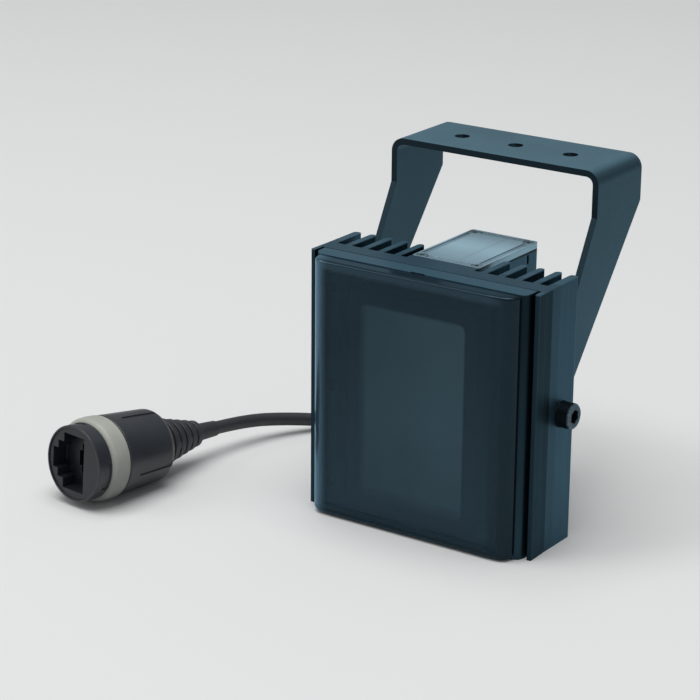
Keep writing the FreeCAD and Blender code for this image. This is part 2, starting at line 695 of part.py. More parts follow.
def box_screws():
    length = BASE_THICKNESS + PAD_DEPTH + BOX_FRONT_WALL
    return Part.makeCompound([
        screw(x, BASE_FRONT_Y, z, M4_RADIUS, length, M4_HEAD_RADIUS, M4_HEAD_HEIGHT, True)
        for x, z in box_screw_places()
    ])


def box_outline(grow=0.0):
    half = BOX_HALF_WIDTH + grow
    return [
        (-half, BOX_FRONT_Y - grow, BOX_CORNER_RADIUS),
        (half, BOX_FRONT_Y - grow, BOX_CORNER_RADIUS),
        (half, BOX_BACK_Y + grow, BOX_CORNER_RADIUS),
        (-half, BOX_BACK_Y + grow, BOX_CORNER_RADIUS),
    ]


def screw_port_places():
    x = BOX_HALF_WIDTH - SCREW_PORT_INSET
    return [
        (side * x, y)
        for side in (-1, 1)
        for y in (BOX_FRONT_Y + SCREW_PORT_INSET, BOX_BACK_Y - SCREW_PORT_INSET)
    ]


def driver_box():
    low = CAP_END
    high = HOUSING_HEIGHT - CAP_END
    inner_x = BOX_HALF_WIDTH - BOX_WALL
    inner_front = BOX_FRONT_Y + BOX_FRONT_WALL
    inner_back = BOX_BACK_Y - BOX_WALL
    outer = prism(box_outline(), plan, Vector(0, 0, high - low))
    hollow = box(-inner_x, inner_x, inner_front, inner_back, -1, high - low + 1)
    tube = outer.cut(hollow)
    ports = [rod(x, y, 0, AXIS_Z, SCREW_PORT_RADIUS, high - low) for x, y in screw_port_places()]
    tube = joined([tube] + [port.common(outer) for port in ports])
    tube.translate(Vector(0, 0, low))
    cuts = [rod(x, y, low - 1, AXIS_Z, CAP_SCREW_RADIUS, high - low + 2) for x, y in screw_port_places()]
    groove = CARD_THICKNESS / 2 + CARD_GROOVE_CLEARANCE
    cuts.append(box(CARD_X - groove, CARD_X + groove, inner_front - CARD_GROOVE_DEPTH,
                    inner_back + CARD_GROOVE_DEPTH, low - 1, high + 1))
    cuts.append(rod(LEAD_X, BOX_FRONT_Y - 1, LEAD_Z, AXIS_Y, BUSH_RADIUS, BOX_FRONT_WALL + 2))
    for x, z in box_screw_places():
        cuts.append(rod(x, BOX_FRONT_Y - 1, z, AXIS_Y, M4_RADIUS, BOX_FRONT_WALL + 2))
    cuts.append(rod(GLAND_X, BOX_BACK_Y - BOX_WALL - 1, GLAND_Z, AXIS_Y, GLAND_THREAD_RADIUS, BOX_WALL + 2))
    slot_y = BOX_BACK_Y - SIDE_SLOT_BACK
    slot = box(BOX_HALF_WIDTH - SIDE_SLOT_DEPTH, BOX_HALF_WIDTH + 1, slot_y - SIDE_SLOT_WIDTH, slot_y,
               high - SIDE_SLOT_LENGTH, high - SIDE_SLOT_END_GAP)
    cuts += both_sides(slot)
    return tube.cut(cuts)


def box_cap():
    """The top cap, with a shallow channel between its rim and its middle panel."""
    low = HOUSING_HEIGHT - CAP_THICKNESS
    plate = prism(box_outline(), plan, Vector(0, 0, CAP_THICKNESS))
    plate.translate(Vector(0, 0, low))
    channel = prism(box_outline(-CAP_RIM), plan, Vector(0, 0, CAP_CHANNEL_DEPTH))
    channel = channel.cut(prism(box_outline(-CAP_BORDER), plan, Vector(0, 0, CAP_CHANNEL_DEPTH)))
    channel.translate(Vector(0, 0, HOUSING_HEIGHT - CAP_CHANNEL_DEPTH))
    seat_radius = CAP_SCREW_HEAD_RADIUS + CAP_SEAT_WALL
    seats = [rod(x, y, low, AXIS_Z, seat_radius, CAP_THICKNESS) for x, y in screw_port_places()]
    cuts = [channel.cut(seats)]
    for x, y in screw_port_places():
        cuts.append(rod(x, y, low - 1, AXIS_Z, CAP_SCREW_RADIUS + SCREW_CLEARANCE, CAP_THICKNESS + 2))
        cuts.append(rod(x, y, HOUSING_HEIGHT - CAP_SCREW_HEAD_HEIGHT - CAP_SCREW_SINK, AXIS_Z,
                        CAP_SCREW_HEAD_RADIUS + SCREW_CLEARANCE, CAP_SCREW_HEAD_HEIGHT + 1))
    return plate.cut(cuts)


def box_gasket():
    low = HOUSING_HEIGHT - CAP_END
    sheet = prism(box_outline(), plan, Vector(0, 0, CAP_GASKET))
    inner_x = BOX_HALF_WIDTH - BOX_WALL
    hole = box(-inner_x, inner_x, BOX_FRONT_Y + BOX_FRONT_WALL, BOX_BACK_Y - BOX_WALL, -1, CAP_GASKET + 1)
    rings = [
        rod(x, y, 0, AXIS_Z, SCREW_PORT_RADIUS, CAP_GASKET).common(sheet)
        for x, y in screw_port_places()
    ]
    gasket = joined([sheet.cut(hole)] + rings)
    gasket = gasket.cut([rod(x, y, -1, AXIS_Z, CAP_SCREW_RADIUS + SCREW_CLEARANCE, CAP_GASKET + 2)
                         for x, y in screw_port_places()])
    gasket.translate(Vector(0, 0, low))
    return gasket


def cap_screws():
    screws = []
    for x, y in screw_port_places():
        one = screw(0, 0, 0, CAP_SCREW_RADIUS, CAP_SCREW_LENGTH, CAP_SCREW_HEAD_RADIUS,
                    CAP_SCREW_HEAD_HEIGHT)
        one.rotate(Vector(0, 0, 0), AXIS_X, -90)
        one.translate(Vector(x, y, HOUSING_HEIGHT - CAP_SCREW_SINK))
        screws.append(one)
    return Part.makeCompound(screws)


def turned_over(shape):
    """The same piece at the other end of the driver box."""
    return shape.mirror(Vector(0, 0, HOUSING_HEIGHT / 2), AXIS_Z)


def card_span():
    front = BOX_FRONT_Y + BOX_FRONT_WALL - CARD_GROOVE_DEPTH + CARD_GROOVE_CLEARANCE
    back = BOX_BACK_Y - BOX_WALL + CARD_GROOVE_DEPTH - CARD_GROOVE_CLEARANCE
    return front, back


def driver_board():
    front, back = card_span()
    low = CAP_THICKNESS + CARD_END_GAP
    return box(CARD_X - CARD_THICKNESS / 2, CARD_FACE_X, front, back, low, HOUSING_HEIGHT - low)


def on_card(y, z, size):
    """A block standing on the driver card, with its middle at (y, z)."""
    across, height, length = size
    return box(CARD_FACE_X, CARD_FACE_X + height, y - across / 2, y + across / 2, z - length / 2,
               z + length / 2)


def card_middle_y():
    front, back = card_span()
    return (front + back) / 2


def driver_transformer():
    y = card_middle_y()
    z = HOUSING_HEIGHT * TRANSFORMER_SHARE
    bobbin = on_card(y, z, BOBBIN_SIZE)
    core = on_card(y, z, CORE_SIZE).cut(on_card(y, z, CORE_WINDOW_SIZE))
    coil = rod(CARD_FACE_X + COIL_RISE, y, z, AXIS_X, COIL_RADIUS, COIL_LENGTH)
    return joined([bobbin, core, coil])


def driver_choke():
    y = card_middle_y() + CHOKE_OFFSET
    z = HOUSING_HEIGHT * CHOKE_SHARE
    middle = Vector(CARD_FACE_X + CHOKE_RISE, y, z)
    torus = Part.makeTorus(CHOKE_RADIUS, CHOKE_TUBE_RADIUS, middle, AXIS_X)
    foot = on_card(y, z, CHOKE_FOOT_SIZE)
    return joined([torus, foot])


def driver_capacitors():
    z = HOUSING_HEIGHT * CAPACITOR_SHARE
    cans = []
    for offset in CAPACITOR_OFFSETS:
        y = card_middle_y() + offset
        can = rod(CARD_FACE_X, y, z, AXIS_X, CAPACITOR_RADIUS, CAPACITOR_LENGTH)
        top = [edge for edge in can.Edges if edge.BoundBox.XMin > CARD_FACE_X + CAPACITOR_LENGTH / 2]
        cans.append(can.makeFillet(CAPACITOR_ROUND, top))
    return Part.makeCompound(cans)


def driver_chips():
    y = card_middle_y()
    chips = [on_card(y + offset, HOUSING_HEIGHT * share, size) for offset, share, size in CHIPS]
    return Part.makeCompound(chips)


def terminal_front_y():
    return BOX_FRONT_Y + BOX_FRONT_WALL + TERMINAL_GAP


def lead_places():
    return [LEAD_X - LEAD_SPACING / 2, LEAD_X + LEAD_SPACING / 2]


def driver_terminals():
    front = terminal_front_y()
    block = box(CARD_FACE_X, LEAD_X + LEAD_SPACING, front, front + TERMINAL_DEPTH,
                LEAD_Z - TERMINAL_HALF_HEIGHT, LEAD_Z + TERMINAL_HALF_HEIGHT)
    holes = [rod(x, front - 1, LEAD_Z, AXIS_Y, LEAD_RADIUS, LEAD_GRIP + 1) for x in lead_places()]
    return block.cut(holes)


def lan_magnetics():
    return on_card(card_middle_y() + MAGNETICS_OFFSET, HOUSING_HEIGHT * MAGNETICS_SHARE, MAGNETICS_SIZE)


def lead_bush():
    length = BASE_THICKNESS + PAD_DEPTH + BOX_FRONT_WALL
    bush = rod(LEAD_X, BASE_FRONT_Y, LEAD_Z, AXIS_Y, BUSH_RADIUS, length)
    holes = [rod(x, BASE_FRONT_Y - 1, LEAD_Z, AXIS_Y, LEAD_RADIUS, length + 2) for x in lead_places()]
    return bush.cut(holes)


def led_leads():
    length = terminal_front_y() + LEAD_GRIP - BASE_FRONT_Y
    leads = [rod(x, BASE_FRONT_Y, LEAD_Z, AXIS_Y, LEAD_RADIUS, length) for x in lead_places()]
    return Part.makeCompound(leads)


def bracket():
    outer = BRACKET_BEND_RADIUS + BRACKET_THICKNESS
    low = PIVOT_Z - BRACKET_END_RADIUS - 1
    folded = [
        (ARM_OUTER_X, low, 0),
        (ARM_OUTER_X, BRACKET_TOP_Z, outer),
        (-ARM_OUTER_X, BRACKET_TOP_Z, outer),
        (-ARM_OUTER_X, low, 0),
        (-ARM_INNER_X, low, 0),
        (-ARM_INNER_X, BRACKET_TOP_Z - BRACKET_THICKNESS, BRACKET_BEND_RADIUS),
        (ARM_INNER_X, BRACKET_TOP_Z - BRACKET_THICKNESS, BRACKET_BEND_RADIUS),
        (ARM_INNER_X, low, 0),
    ]
    start_y = PIVOT_Y - BRACKET_END_RADIUS - 1
    sheet = prism(folded, lambda p: Vector(p.x, start_y, p.y), Vector(0, PLATE_BACK_Y + 1 - start_y, 0))
    shoulder = BRACKET_TOP_Z - BRACKET_SHOULDER_DROP
    back_touch = tangent_point(PLATE_BACK_Y, shoulder, True)
    front_touch = tangent_point(PLATE_FRONT_Y, shoulder, False)
    side = [
        Vector(0, PLATE_FRONT_Y, BRACKET_TOP_Z + 1),
        Vector(0, PLATE_BACK_Y, BRACKET_TOP_Z + 1),
        Vector(0, PLATE_BACK_Y, shoulder),
        back_touch,
        front_touch,
        Vector(0, PLATE_FRONT_Y, shoulder),
    ]
    bottom = Vector(0, PIVOT_Y, PIVOT_Z) + end_direction() * BRACKET_END_RADIUS
    edges = [Part.LineSegment(side[i], side[i + 1]).toShape() for i in (0, 1, 2)]
    edges.append(Part.Arc(side[3], bottom, side[4]).toShape())
    edges.append(Part.LineSegment(side[4], side[5]).toShape())
    edges.append(Part.LineSegment(side[5], side[0]).toShape())
    face = Part.Face(Part.Wire(edges))
    face.translate(Vector(-HALF_WIDTH, 0, 0))
    blank = sheet.common(face.extrude(AXIS_X * HOUSING_WIDTH))
    middle_y = (PLATE_FRONT_Y + PLATE_BACK_Y) / 2
    cuts = []
    for i in range(BRACKET_HOLE_COUNT):
        x = (i - (BRACKET_HOLE_COUNT - 1) / 2) * BRACKET_HOLE_SPACING
        cuts.append(rod(x, middle_y, BRACKET_TOP_Z - BRACKET_THICKNESS - 1, AXIS_Z, BRACKET_HOLE_RADIUS,
                        BRACKET_THICKNESS + 2))
    cuts += both_sides(rod(ARM_INNER_X - 1, PIVOT_Y, PIVOT_Z, AXIS_X, BOLT_RADIUS, BRACKET_THICKNESS + 2))
    return blank.cut(cuts)


def end_direction():
    """From the middle of the bracket's plate to its pivot, the way its arms point."""
    plate = Vector(0, (PLATE_FRONT_Y + PLATE_BACK_Y) / 2, BRACKET_TOP_Z)
    direction = Vector(0, PIVOT_Y, PIVOT_Z) - plate
    direction.normalize()
    return direction


def tangent_point(y, z, at_back):
    """Where the line from (y, z) touches the round end of a bracket arm, on its back or its front."""
    across = y - PIVOT_Y
    rise = z - PIVOT_Z
    distance = math.hypot(across, rise)
    base = math.atan2(rise, across)
    swing = math.acos(BRACKET_END_RADIUS / distance)
    angle = base - swing if at_back else base + swing
    outward = Vector(0, math.cos(angle), math.sin(angle))
    return Vector(0, PIVOT_Y, PIVOT_Z) + outward * BRACKET_END_RADIUS


def arm_washers():
    ring = rod(ARM_OUTER_X, PIVOT_Y, PIVOT_Z, AXIS_X, ARM_WASHER_RADIUS, ARM_WASHER_THICKNESS)
    ring = ring.cut(rod(ARM_OUTER_X - 1, PIVOT_Y, PIVOT_Z, AXIS_X, BOLT_RADIUS, ARM_WASHER_THICKNESS + 2))
    return Part.makeCompound(both_sides(ring))


def lock_washers():
    ring = rod(SEAT_X, PIVOT_Y, PIVOT_Z, AXIS_X, LOCK_WASHER_RADIUS, LOCK_WASHER_THICKNESS)
    hole = rod(SEAT_X - 1, PIVOT_Y, PIVOT_Z, AXIS_X, BOLT_RADIUS, LOCK_WASHER_THICKNESS + 2)
    split = box(SEAT_X - 1, SEAT_X + LOCK_WASHER_THICKNESS + 1, PIVOT_Y - LOCK_WASHER_SPLIT / 2,
                PIVOT_Y + LOCK_WASHER_SPLIT / 2, PIVOT_Z, PIVOT_Z + LOCK_WASHER_RADIUS + 1)
    return Part.makeCompound(both_sides(ring.cut([hole, split])))


def pivot_bolts():
    under = SEAT_X + LOCK_WASHER_THICKNESS
    tip = OUTER_FIN_X + BOLT_END_CLEARANCE
    shank = rod(tip, PIVOT_Y, PIVOT_Z, AXIS_X, BOLT_RADIUS, under - tip)
    head = rod(under, PIVOT_Y, PIVOT_Z, AXIS_X, BOLT_HEAD_RADIUS, BOLT_HEAD_HEIGHT)
    end = under + BOLT_HEAD_HEIGHT
    rim = [edge for edge in head.Edges if edge.BoundBox.XMin > end - BOLT_HEAD_HEIGHT / 2]
    head = head.makeChamfer(BOLT_HEAD_CHAMFER, rim)
    key = hexagon(end - BOLT_KEY_DEPTH, PIVOT_Y, PIVOT_Z, False, BOLT_KEY_ACROSS_FLATS, BOLT_KEY_DEPTH + 1)
    return Part.makeCompound(both_sides(joined([shank, head]).cut(key)))


def gland_seat_y():
    return BOX_BACK_Y + GLAND_HEX_LENGTH


def gland_body():
    start = BOX_BACK_Y - BOX_WALL - GLAND_LOCKNUT_LENGTH - GLAND_THREAD_END
    seat = gland_seat_y()
    thread = rod(GLAND_X, start, GLAND_Z, AXIS_Y, GLAND_THREAD_RADIUS, BOX_BACK_Y - start)
    flange = hexagon(GLAND_X, BOX_BACK_Y, GLAND_Z, True, GLAND_ACROSS_FLATS, GLAND_HEX_LENGTH)
    neck = rod(GLAND_X, seat, GLAND_Z, AXIS_Y, GLAND_THREAD_RADIUS, GLAND_NUT_LAP)
    bore = rod(GLAND_X, start - 1, GLAND_Z, AXIS_Y, CABLE_RADIUS + GLAND_BORE_CLEARANCE, seat - start + 1)
    socket = rod(GLAND_X, seat - GLAND_SEAL_SINK, GLAND_Z, AXIS_Y, GLAND_SEAL_RADIUS, GLAND_NUT_LAP + 2)
    return joined([thread, flange, neck]).cut([bore, socket])


def gland_locknut():
    start = BOX_BACK_Y - BOX_WALL - GLAND_LOCKNUT_LENGTH
    nut = hexagon(GLAND_X, start, GLAND_Z, True, GLAND_ACROSS_FLATS, GLAND_LOCKNUT_LENGTH)
    return nut.cut(rod(GLAND_X, start - 1, GLAND_Z, AXIS_Y, GLAND_THREAD_RADIUS, GLAND_LOCKNUT_LENGTH + 2))


def gland_seal():
    start = gland_seat_y() - GLAND_SEAL_SINK
    body = rod(GLAND_X, start, GLAND_Z, AXIS_Y, GLAND_SEAL_RADIUS, GLAND_SEAL_LENGTH)
    return body.cut(rod(GLAND_X, start - 1, GLAND_Z, AXIS_Y, CABLE_RADIUS, GLAND_SEAL_LENGTH + 2))


def gland_nut():
    start = gland_seat_y()
    grip = GLAND_NUT_LENGTH * GLAND_GRIP_SHARE
    hexed = hexagon(GLAND_X, start, GLAND_Z, True, GLAND_ACROSS_FLATS, grip)
    dome_start = start + grip
    dome_length = GLAND_NUT_LENGTH - grip
    dome = cone(GLAND_X, dome_start, GLAND_Z, AXIS_Y, GLAND_ACROSS_FLATS / 2, GLAND_DOME_END_RADIUS,
                dome_length)
    shell = joined([hexed, dome])
    thread = rod(GLAND_X, start - 1, GLAND_Z, AXIS_Y, GLAND_THREAD_RADIUS, GLAND_NUT_LAP + 1)
    pocket = rod(GLAND_X, start, GLAND_Z, AXIS_Y, GLAND_SEAL_RADIUS, GLAND_SEAL_LENGTH - GLAND_SEAL_SINK)
    mouth = rod(GLAND_X, start, GLAND_Z, AXIS_Y, CABLE_RADIUS, GLAND_NUT_LENGTH + 1)
    return shell.cut([thread, pocket, mouth])


def cable_tail():
    """The cable's end inside the gland and the box, up to where it leaves the dome nut."""
    start = BOX_BACK_Y - BOX_WALL - CABLE_INSIDE
    return rod(GLAND_X, start, GLAND_Z, AXIS_Y, CABLE_RADIUS, GLAND_END_Y - start)


def socket_tilt():
    """The socket lies on its ring and its heel, so its nose points up a little."""
    return math.asin((RING_RADIUS - SHELL_BACK_RADIUS) / (SHELL_HEEL - RING_MIDDLE))


def socket_placement():
    tilt = socket_tilt()
    heading = math.radians(SOCKET_HEADING)
    ring_axis_z = GROUND_CLEARANCE + RING_RADIUS / math.cos(tilt)
    flat = SOCKET_LENGTH * math.cos(tilt)
    front_x = SOCKET_TAIL[0] + flat * math.cos(heading)
    front_y = SOCKET_TAIL[1] + flat * math.sin(heading)
    front_z = ring_axis_z + RING_MIDDLE * math.sin(tilt)
    turn = FreeCAD.Rotation(AXIS_Z, SOCKET_HEADING)
    nose_up = FreeCAD.Rotation(AXIS_Y, -math.degrees(tilt))
    return FreeCAD.Placement(Vector(front_x, front_y, front_z), turn.multiply(nose_up))


def laid_down(shape):
    """Moves a socket piece from its own axis to where the socket lies."""
    placed = shape.copy()
    placed.transformShape(socket_placement().toMatrix(), True)
    return placed


def socket_shell():
    ring_back = -BARREL_LENGTH - RING_LENGTH
    back = -SHELL_BACK
    profile = [
        (0, BARREL_BORE, 0),
        (0, BARREL_RADIUS, OUTER_EDGE_ROUND),
        (-BARREL_LENGTH, BARREL_RADIUS, 0),
        (-BARREL_LENGTH, RING_CORE_RADIUS, 0),
        (ring_back, RING_CORE_RADIUS, 0),
        (ring_back, SHELL_FRONT_RADIUS, SHELL_FRONT_ROUND),
        (back, SHELL_BACK_RADIUS, SHELL_BACK_ROUND),
        (back, RELIEF_SPIGOT_RADIUS, 0),
        (back + SHELL_BACK_WALL, RELIEF_SPIGOT_RADIUS, 0),
        (back + SHELL_BACK_WALL, SHELL_CAVITY_RADIUS, SHELL_CAVITY_ROUND),
        (-INSERT_LENGTH, SHELL_CAVITY_RADIUS, 0),
        (-INSERT_LENGTH, INSERT_STEM_RADIUS, 0),
        (INSERT_SEAT_X, INSERT_STEM_RADIUS, 0),
        (INSERT_SEAT_X, BARREL_BORE, 0),
    ]
    shell = revolved(profile)
    recesses = [
        latch_recess(LATCH_RECESS_FIRST + i * 360.0 / LATCH_RECESS_COUNT)
        for i in range(LATCH_RECESS_COUNT)
    ]
    flutes = [
        shell_flute(SHELL_FLUTE_FIRST + i * 360.0 / SHELL_FLUTE_COUNT)
        for i in range(SHELL_FLUTE_COUNT)
    ]
    return shell.cut(recesses + flutes)


def latch_recess(angle):
    """A shallow recess for a plug's coupling, in the barrel next to the ring."""
    back = -BARREL_LENGTH + LATCH_RECESS_GAP
    return sector(BARREL_RADIUS - LATCH_RECESS_DEPTH, BARREL_RADIUS + 1, back, back + LATCH_RECESS_LENGTH,
                  angle, angle + LATCH_RECESS_SPAN)


def shell_flute(angle):
    """A shallow grip flute with round ends, along the shell's taper, at an angle as in sector."""
    half = SHELL_FLUTE_WIDTH / 2
    far = -SHELL_FLUTE_LENGTH + half
    rise = SHELL_FLUTE_DEPTH + 1
    flute = joined([
        box(far, -half, -half, half, -SHELL_FLUTE_DEPTH, 1),
        rod(-half, 0, -SHELL_FLUTE_DEPTH, AXIS_Z, half, rise),
        rod(far, 0, -SHELL_FLUTE_DEPTH, AXIS_Z, half, rise),
    ])
    slope = SHELL_TAPER / SHELL_LENGTH
    flute.rotate(Vector(0, 0, 0), AXIS_Y, -math.degrees(math.atan(slope)))
    start = -BARREL_LENGTH - RING_LENGTH - SHELL_FLUTE_START
    flute.translate(Vector(start, 0, SHELL_FRONT_RADIUS - SHELL_FLUTE_START * slope))
    flute.rotate(Vector(0, 0, 0), AXIS_X, angle)
    return flute


def sector(inner, outer, x0, x1, angle0, angle1):
    """Part of a tube about X between two angles, counted from +Z toward -Y."""
    corners = [(x0, inner, 0), (x1, inner, 0), (x1, outer, 0), (x0, outer, 0)]
    face = Part.Face(Part.Wire(rounded_edges(corners, lambda p: Vector(p.x, 0, p.y))))
    face.rotate(Vector(0, 0, 0), AXIS_X, angle0)
    return face.revolve(Vector(0, 0, 0), AXIS_X, angle1 - angle0)


def ring_seal():
    front = -BARREL_LENGTH - PRESS_GAP
    back = -BARREL_LENGTH - RING_LENGTH + PRESS_GAP
    profile = [
        (front, RING_CORE_RADIUS, 0),
        (front, RING_RADIUS - RING_CROWN, RING_FRONT_ROUND),
        (-RING_MIDDLE + RING_CROWN_HALF_WIDTH, RING_RADIUS, RING_CROWN_ROUND),
        (-RING_MIDDLE - RING_CROWN_HALF_WIDTH, RING_RADIUS, RING_CROWN_ROUND),
        (back, RING_RADIUS - RING_CROWN, RING_BACK_ROUND),
        (back, RING_CORE_RADIUS, 0),
    ]
    return revolved(profile)


def stepped_mouth(half_width, near, far, steps, x0, x1):
    """A jack's outline: straight on the contact side (+Y), stepped for the latch on the other (-Y)."""
    right = [(half_width, -near), (half_width, far)]
    level = far
    for step_half, reach in steps:
        right += [(step_half, level), (step_half, reach)]
        level = reach
    outline = right + [(-across, along) for across, along in reversed(right)]
    points = [Vector(x0, -along, across) for across, along in outline]
    face = Part.Face(Part.makePolygon(points + [points[0]]))
    return face.extrude(Vector(x1 - x0, 0, 0))


def port_insert():
    front = -INSERT_RECESS
    plug = rod(INSERT_SEAT_X, 0, 0, AXIS_X, BARREL_BORE, front - INSERT_SEAT_X)
    stem = rod(-INSERT_LENGTH, 0, 0, AXIS_X, INSERT_STEM_RADIUS, INSERT_LENGTH + INSERT_SEAT_X)
    mouth = stepped_mouth(MOUTH_HALF_WIDTH, MOUTH_NEAR, MOUTH_FAR, MOUTH_STEPS, front - MOUTH_DEPTH, 1)
    jack_floor = front - MOUTH_DEPTH - JACK_DEPTH
    jack = stepped_mouth(JACK_HALF_WIDTH, JACK_NEAR, JACK_FAR, JACK_STEPS, jack_floor, 1)
    return joined([plug, stem]).cut([mouth, jack])


def port_contacts():
    floor = -INSERT_RECESS - MOUTH_DEPTH - JACK_DEPTH
    wires = []
    for i in range(CONTACT_COUNT):
        across = (i - (CONTACT_COUNT - 1) / 2) * CONTACT_PITCH
        level = across - CONTACT_SIZE / 2
        points = [
            Vector(floor, JACK_NEAR, level),
            Vector(floor + CONTACT_LENGTH, JACK_NEAR, level),
            Vector(floor + CONTACT_LENGTH, JACK_NEAR - CONTACT_SIZE, level),
            Vector(floor + CONTACT_SIZE, JACK_NEAR - CONTACT_RISE, level),
            Vector(floor, JACK_NEAR - CONTACT_RISE, level),
        ]
        wires.append(Part.Face(Part.makePolygon(points + [points[0]])).extrude(AXIS_Z * CONTACT_SIZE))
    return Part.makeCompound(wires)


def rib_radius(i):
    share = i / (RELIEF_RIB_COUNT - 1)
    return RELIEF_RIB_RADIUS + share * (RELIEF_RIB_END_RADIUS - RELIEF_RIB_RADIUS)


def strain_relief():
    """A tapering sleeve whose grooves are bridged by webs, turned a quarter from groove to groove."""
    start = -SHELL_BACK
    profile = [(start + SHELL_BACK_WALL, 0, 0), (start + SHELL_BACK_WALL, RELIEF_SPIGOT_RADIUS, 0)]
    profile.append((start, RELIEF_SPIGOT_RADIUS, 0))
    webs = []
    for i in range(RELIEF_RIB_COUNT):
        radius = rib_radius(i)
        floor = radius * RELIEF_GROOVE_SHARE
        front = start - i * RELIEF_RIB_PITCH
        back = front - RELIEF_RIB_PITCH + RELIEF_GROOVE
        profile += [(front, radius, RELIEF_RIB_FRONT_ROUND)]
        profile += [(back, radius - RELIEF_RIB_LEAN, RELIEF_RIB_BACK_ROUND)]
        if i == RELIEF_RIB_COUNT - 1:
            profile += [(back, RELIEF_TAPER_RADIUS, RELIEF_TAPER_ROUND)]
            break
        profile += [(back, floor, 0), (back - RELIEF_GROOVE, floor, 0)]
        half = RELIEF_WEB_WIDTH / 2
        reach = rib_radius(i + 1) - RELIEF_RIB_LEAN
        web = box(back - RELIEF_GROOVE, back, -half, half, -reach, reach)
        web.rotate(Vector(0, 0, 0), AXIS_X, RELIEF_WEB_TURN * i)
        webs.append(web)
    end = -SOCKET_LENGTH
    profile += [(end, RELIEF_END_RADIUS, EDGE_ROUND), (end, 0, 0)]
    return joined([revolved(profile)] + webs)


def cable_points():
    """Straight out of the gland, through the chosen points, and in along the strain relief's axis."""
    leave = Vector(GLAND_X, GLAND_END_Y, GLAND_Z)
    placement = socket_placement()
    approach = placement.multVec(Vector(-SOCKET_LENGTH - CABLE_STRAIGHT_RUN, 0, 0))
    arrive = placement.multVec(Vector(-SOCKET_LENGTH, 0, 0))
    between = [Vector(*point) for point in CABLE_POINTS]
    return [leave, leave + AXIS_Y * CABLE_STRAIGHT_RUN] + between + [approach, arrive]


def cable():
    """The free cable: straight runs joined by tangent arcs as large as the runs allow."""
    points = cable_points()
    edges = []
    radii = []
    last = points[0]
    for i in range(1, len(points) - 1):
        back = points[i - 1] - points[i]
        ahead = points[i + 1] - points[i]
        reach = ARC_SHARE * min(back.Length, ahead.Length)
        half_turn = (math.pi - back.getAngle(ahead)) / 2
        radius = reach / math.tan(half_turn)
        radii.append(radius)
        back.normalize()
        ahead.normalize()
        start = points[i] + back * reach
        end = points[i] + ahead * reach
        bisector = back + ahead
        bisector.normalize()
        middle = points[i] + bisector * (radius / math.cos(half_turn) - radius)
        edges.append(Part.LineSegment(last, start).toShape())
        edges.append(Part.Arc(start, middle, end).toShape())
        last = end
    edges.append(Part.LineSegment(last, points[-1]).toShape())
    path = Part.Wire(edges)
    runs = [round((points[i + 1] - points[i]).Length, 1) for i in range(len(points) - 1)]
    print("cable runs", runs)
    print("cable points", [tuple(round(value, 2) for value in point) for point in points])
    direction = points[1] - points[0]
    section = Part.Wire(Part.makeCircle(CABLE_RADIUS, points[0], direction))
    tube = path.makePipeShell([section], True, False)
    ideal = math.pi * CABLE_RADIUS ** 2 * path.Length
    print("cable arc radii", [round(radius, 1) for radius in radii])
    print("cable length", round(path.Length, 1))
    print("volume over section times length", round(tube.Volume / ideal, 4))
    return tube


def socket_pieces():
    return {
        "socket_shell": socket_shell(),
        "ring_seal": ring_seal(),
        "port_insert": port_insert(),
        "port_contacts": port_contacts(),
        "strain_relief": strain_relief(),
    }


def all_pieces():
    top_cap = box_cap()
    gasket = box_gasket()
    screws = cap_screws()
    pieces = {
        "heatsink": heatsink(),
        "front_frame": front_frame(),
        "front_window": front_window(),
        "window_seal": window_seal(),
        "frame_seal": frame_seal(),
        "led_board": led_board(),
        "led_emitters": led_emitters(),
        "lens_plate": lens_plate(),
        "lens_holder": lens_holder(),
        "board_screws": board_screws(),
        "frame_screws": frame_screws(),
        "box_screws": box_screws(),
        "driver_box": driver_box(),
        "box_top_cap": top_cap,
        "box_bottom_cap": turned_over(top_cap),
        "box_top_gasket": gasket,
        "box_bottom_gasket": turned_over(gasket),
        "top_cap_screws": screws,
        "bottom_cap_screws": turned_over(screws),
        "driver_board": driver_board(),
        "driver_transformer": driver_transformer(),
        "driver_choke": driver_choke(),
        "driver_capacitors": driver_capacitors(),
        "driver_chips": driver_chips(),
        "driver_terminals": driver_terminals(),
        "lan_magnetics": lan_magnetics(),
        "lead_bush": lead_bush(),
        "led_leads": led_leads(),
        "gland_body": gland_body(),
        "gland_locknut": gland_locknut(),
        "gland_seal": gland_seal(),
        "gland_nut": gland_nut(),
        "cable_tail": cable_tail(),
        "cable": cable(),
        "bracket": bracket(),
        "pivot_bolts": pivot_bolts(),
        "lock_washers": lock_washers(),
        "arm_washers": arm_washers(),
    }
    for name, shape in socket_pieces().items():
        pieces[name] = laid_down(shape)
    return pieces


os.makedirs("parts", exist_ok=True)
for name, shape in all_pieces().items():
    shape.exportStep(os.path.join("parts", name + ".step"))
    print(name, "solids", len(shape.Solids), "valid", shape.isValid(), "volume", round(shape.Volume, 1))
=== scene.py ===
"""Looks of the infrared illuminator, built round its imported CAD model."""
import math

import bmesh
import bpy
from mathutils import Matrix, Vector


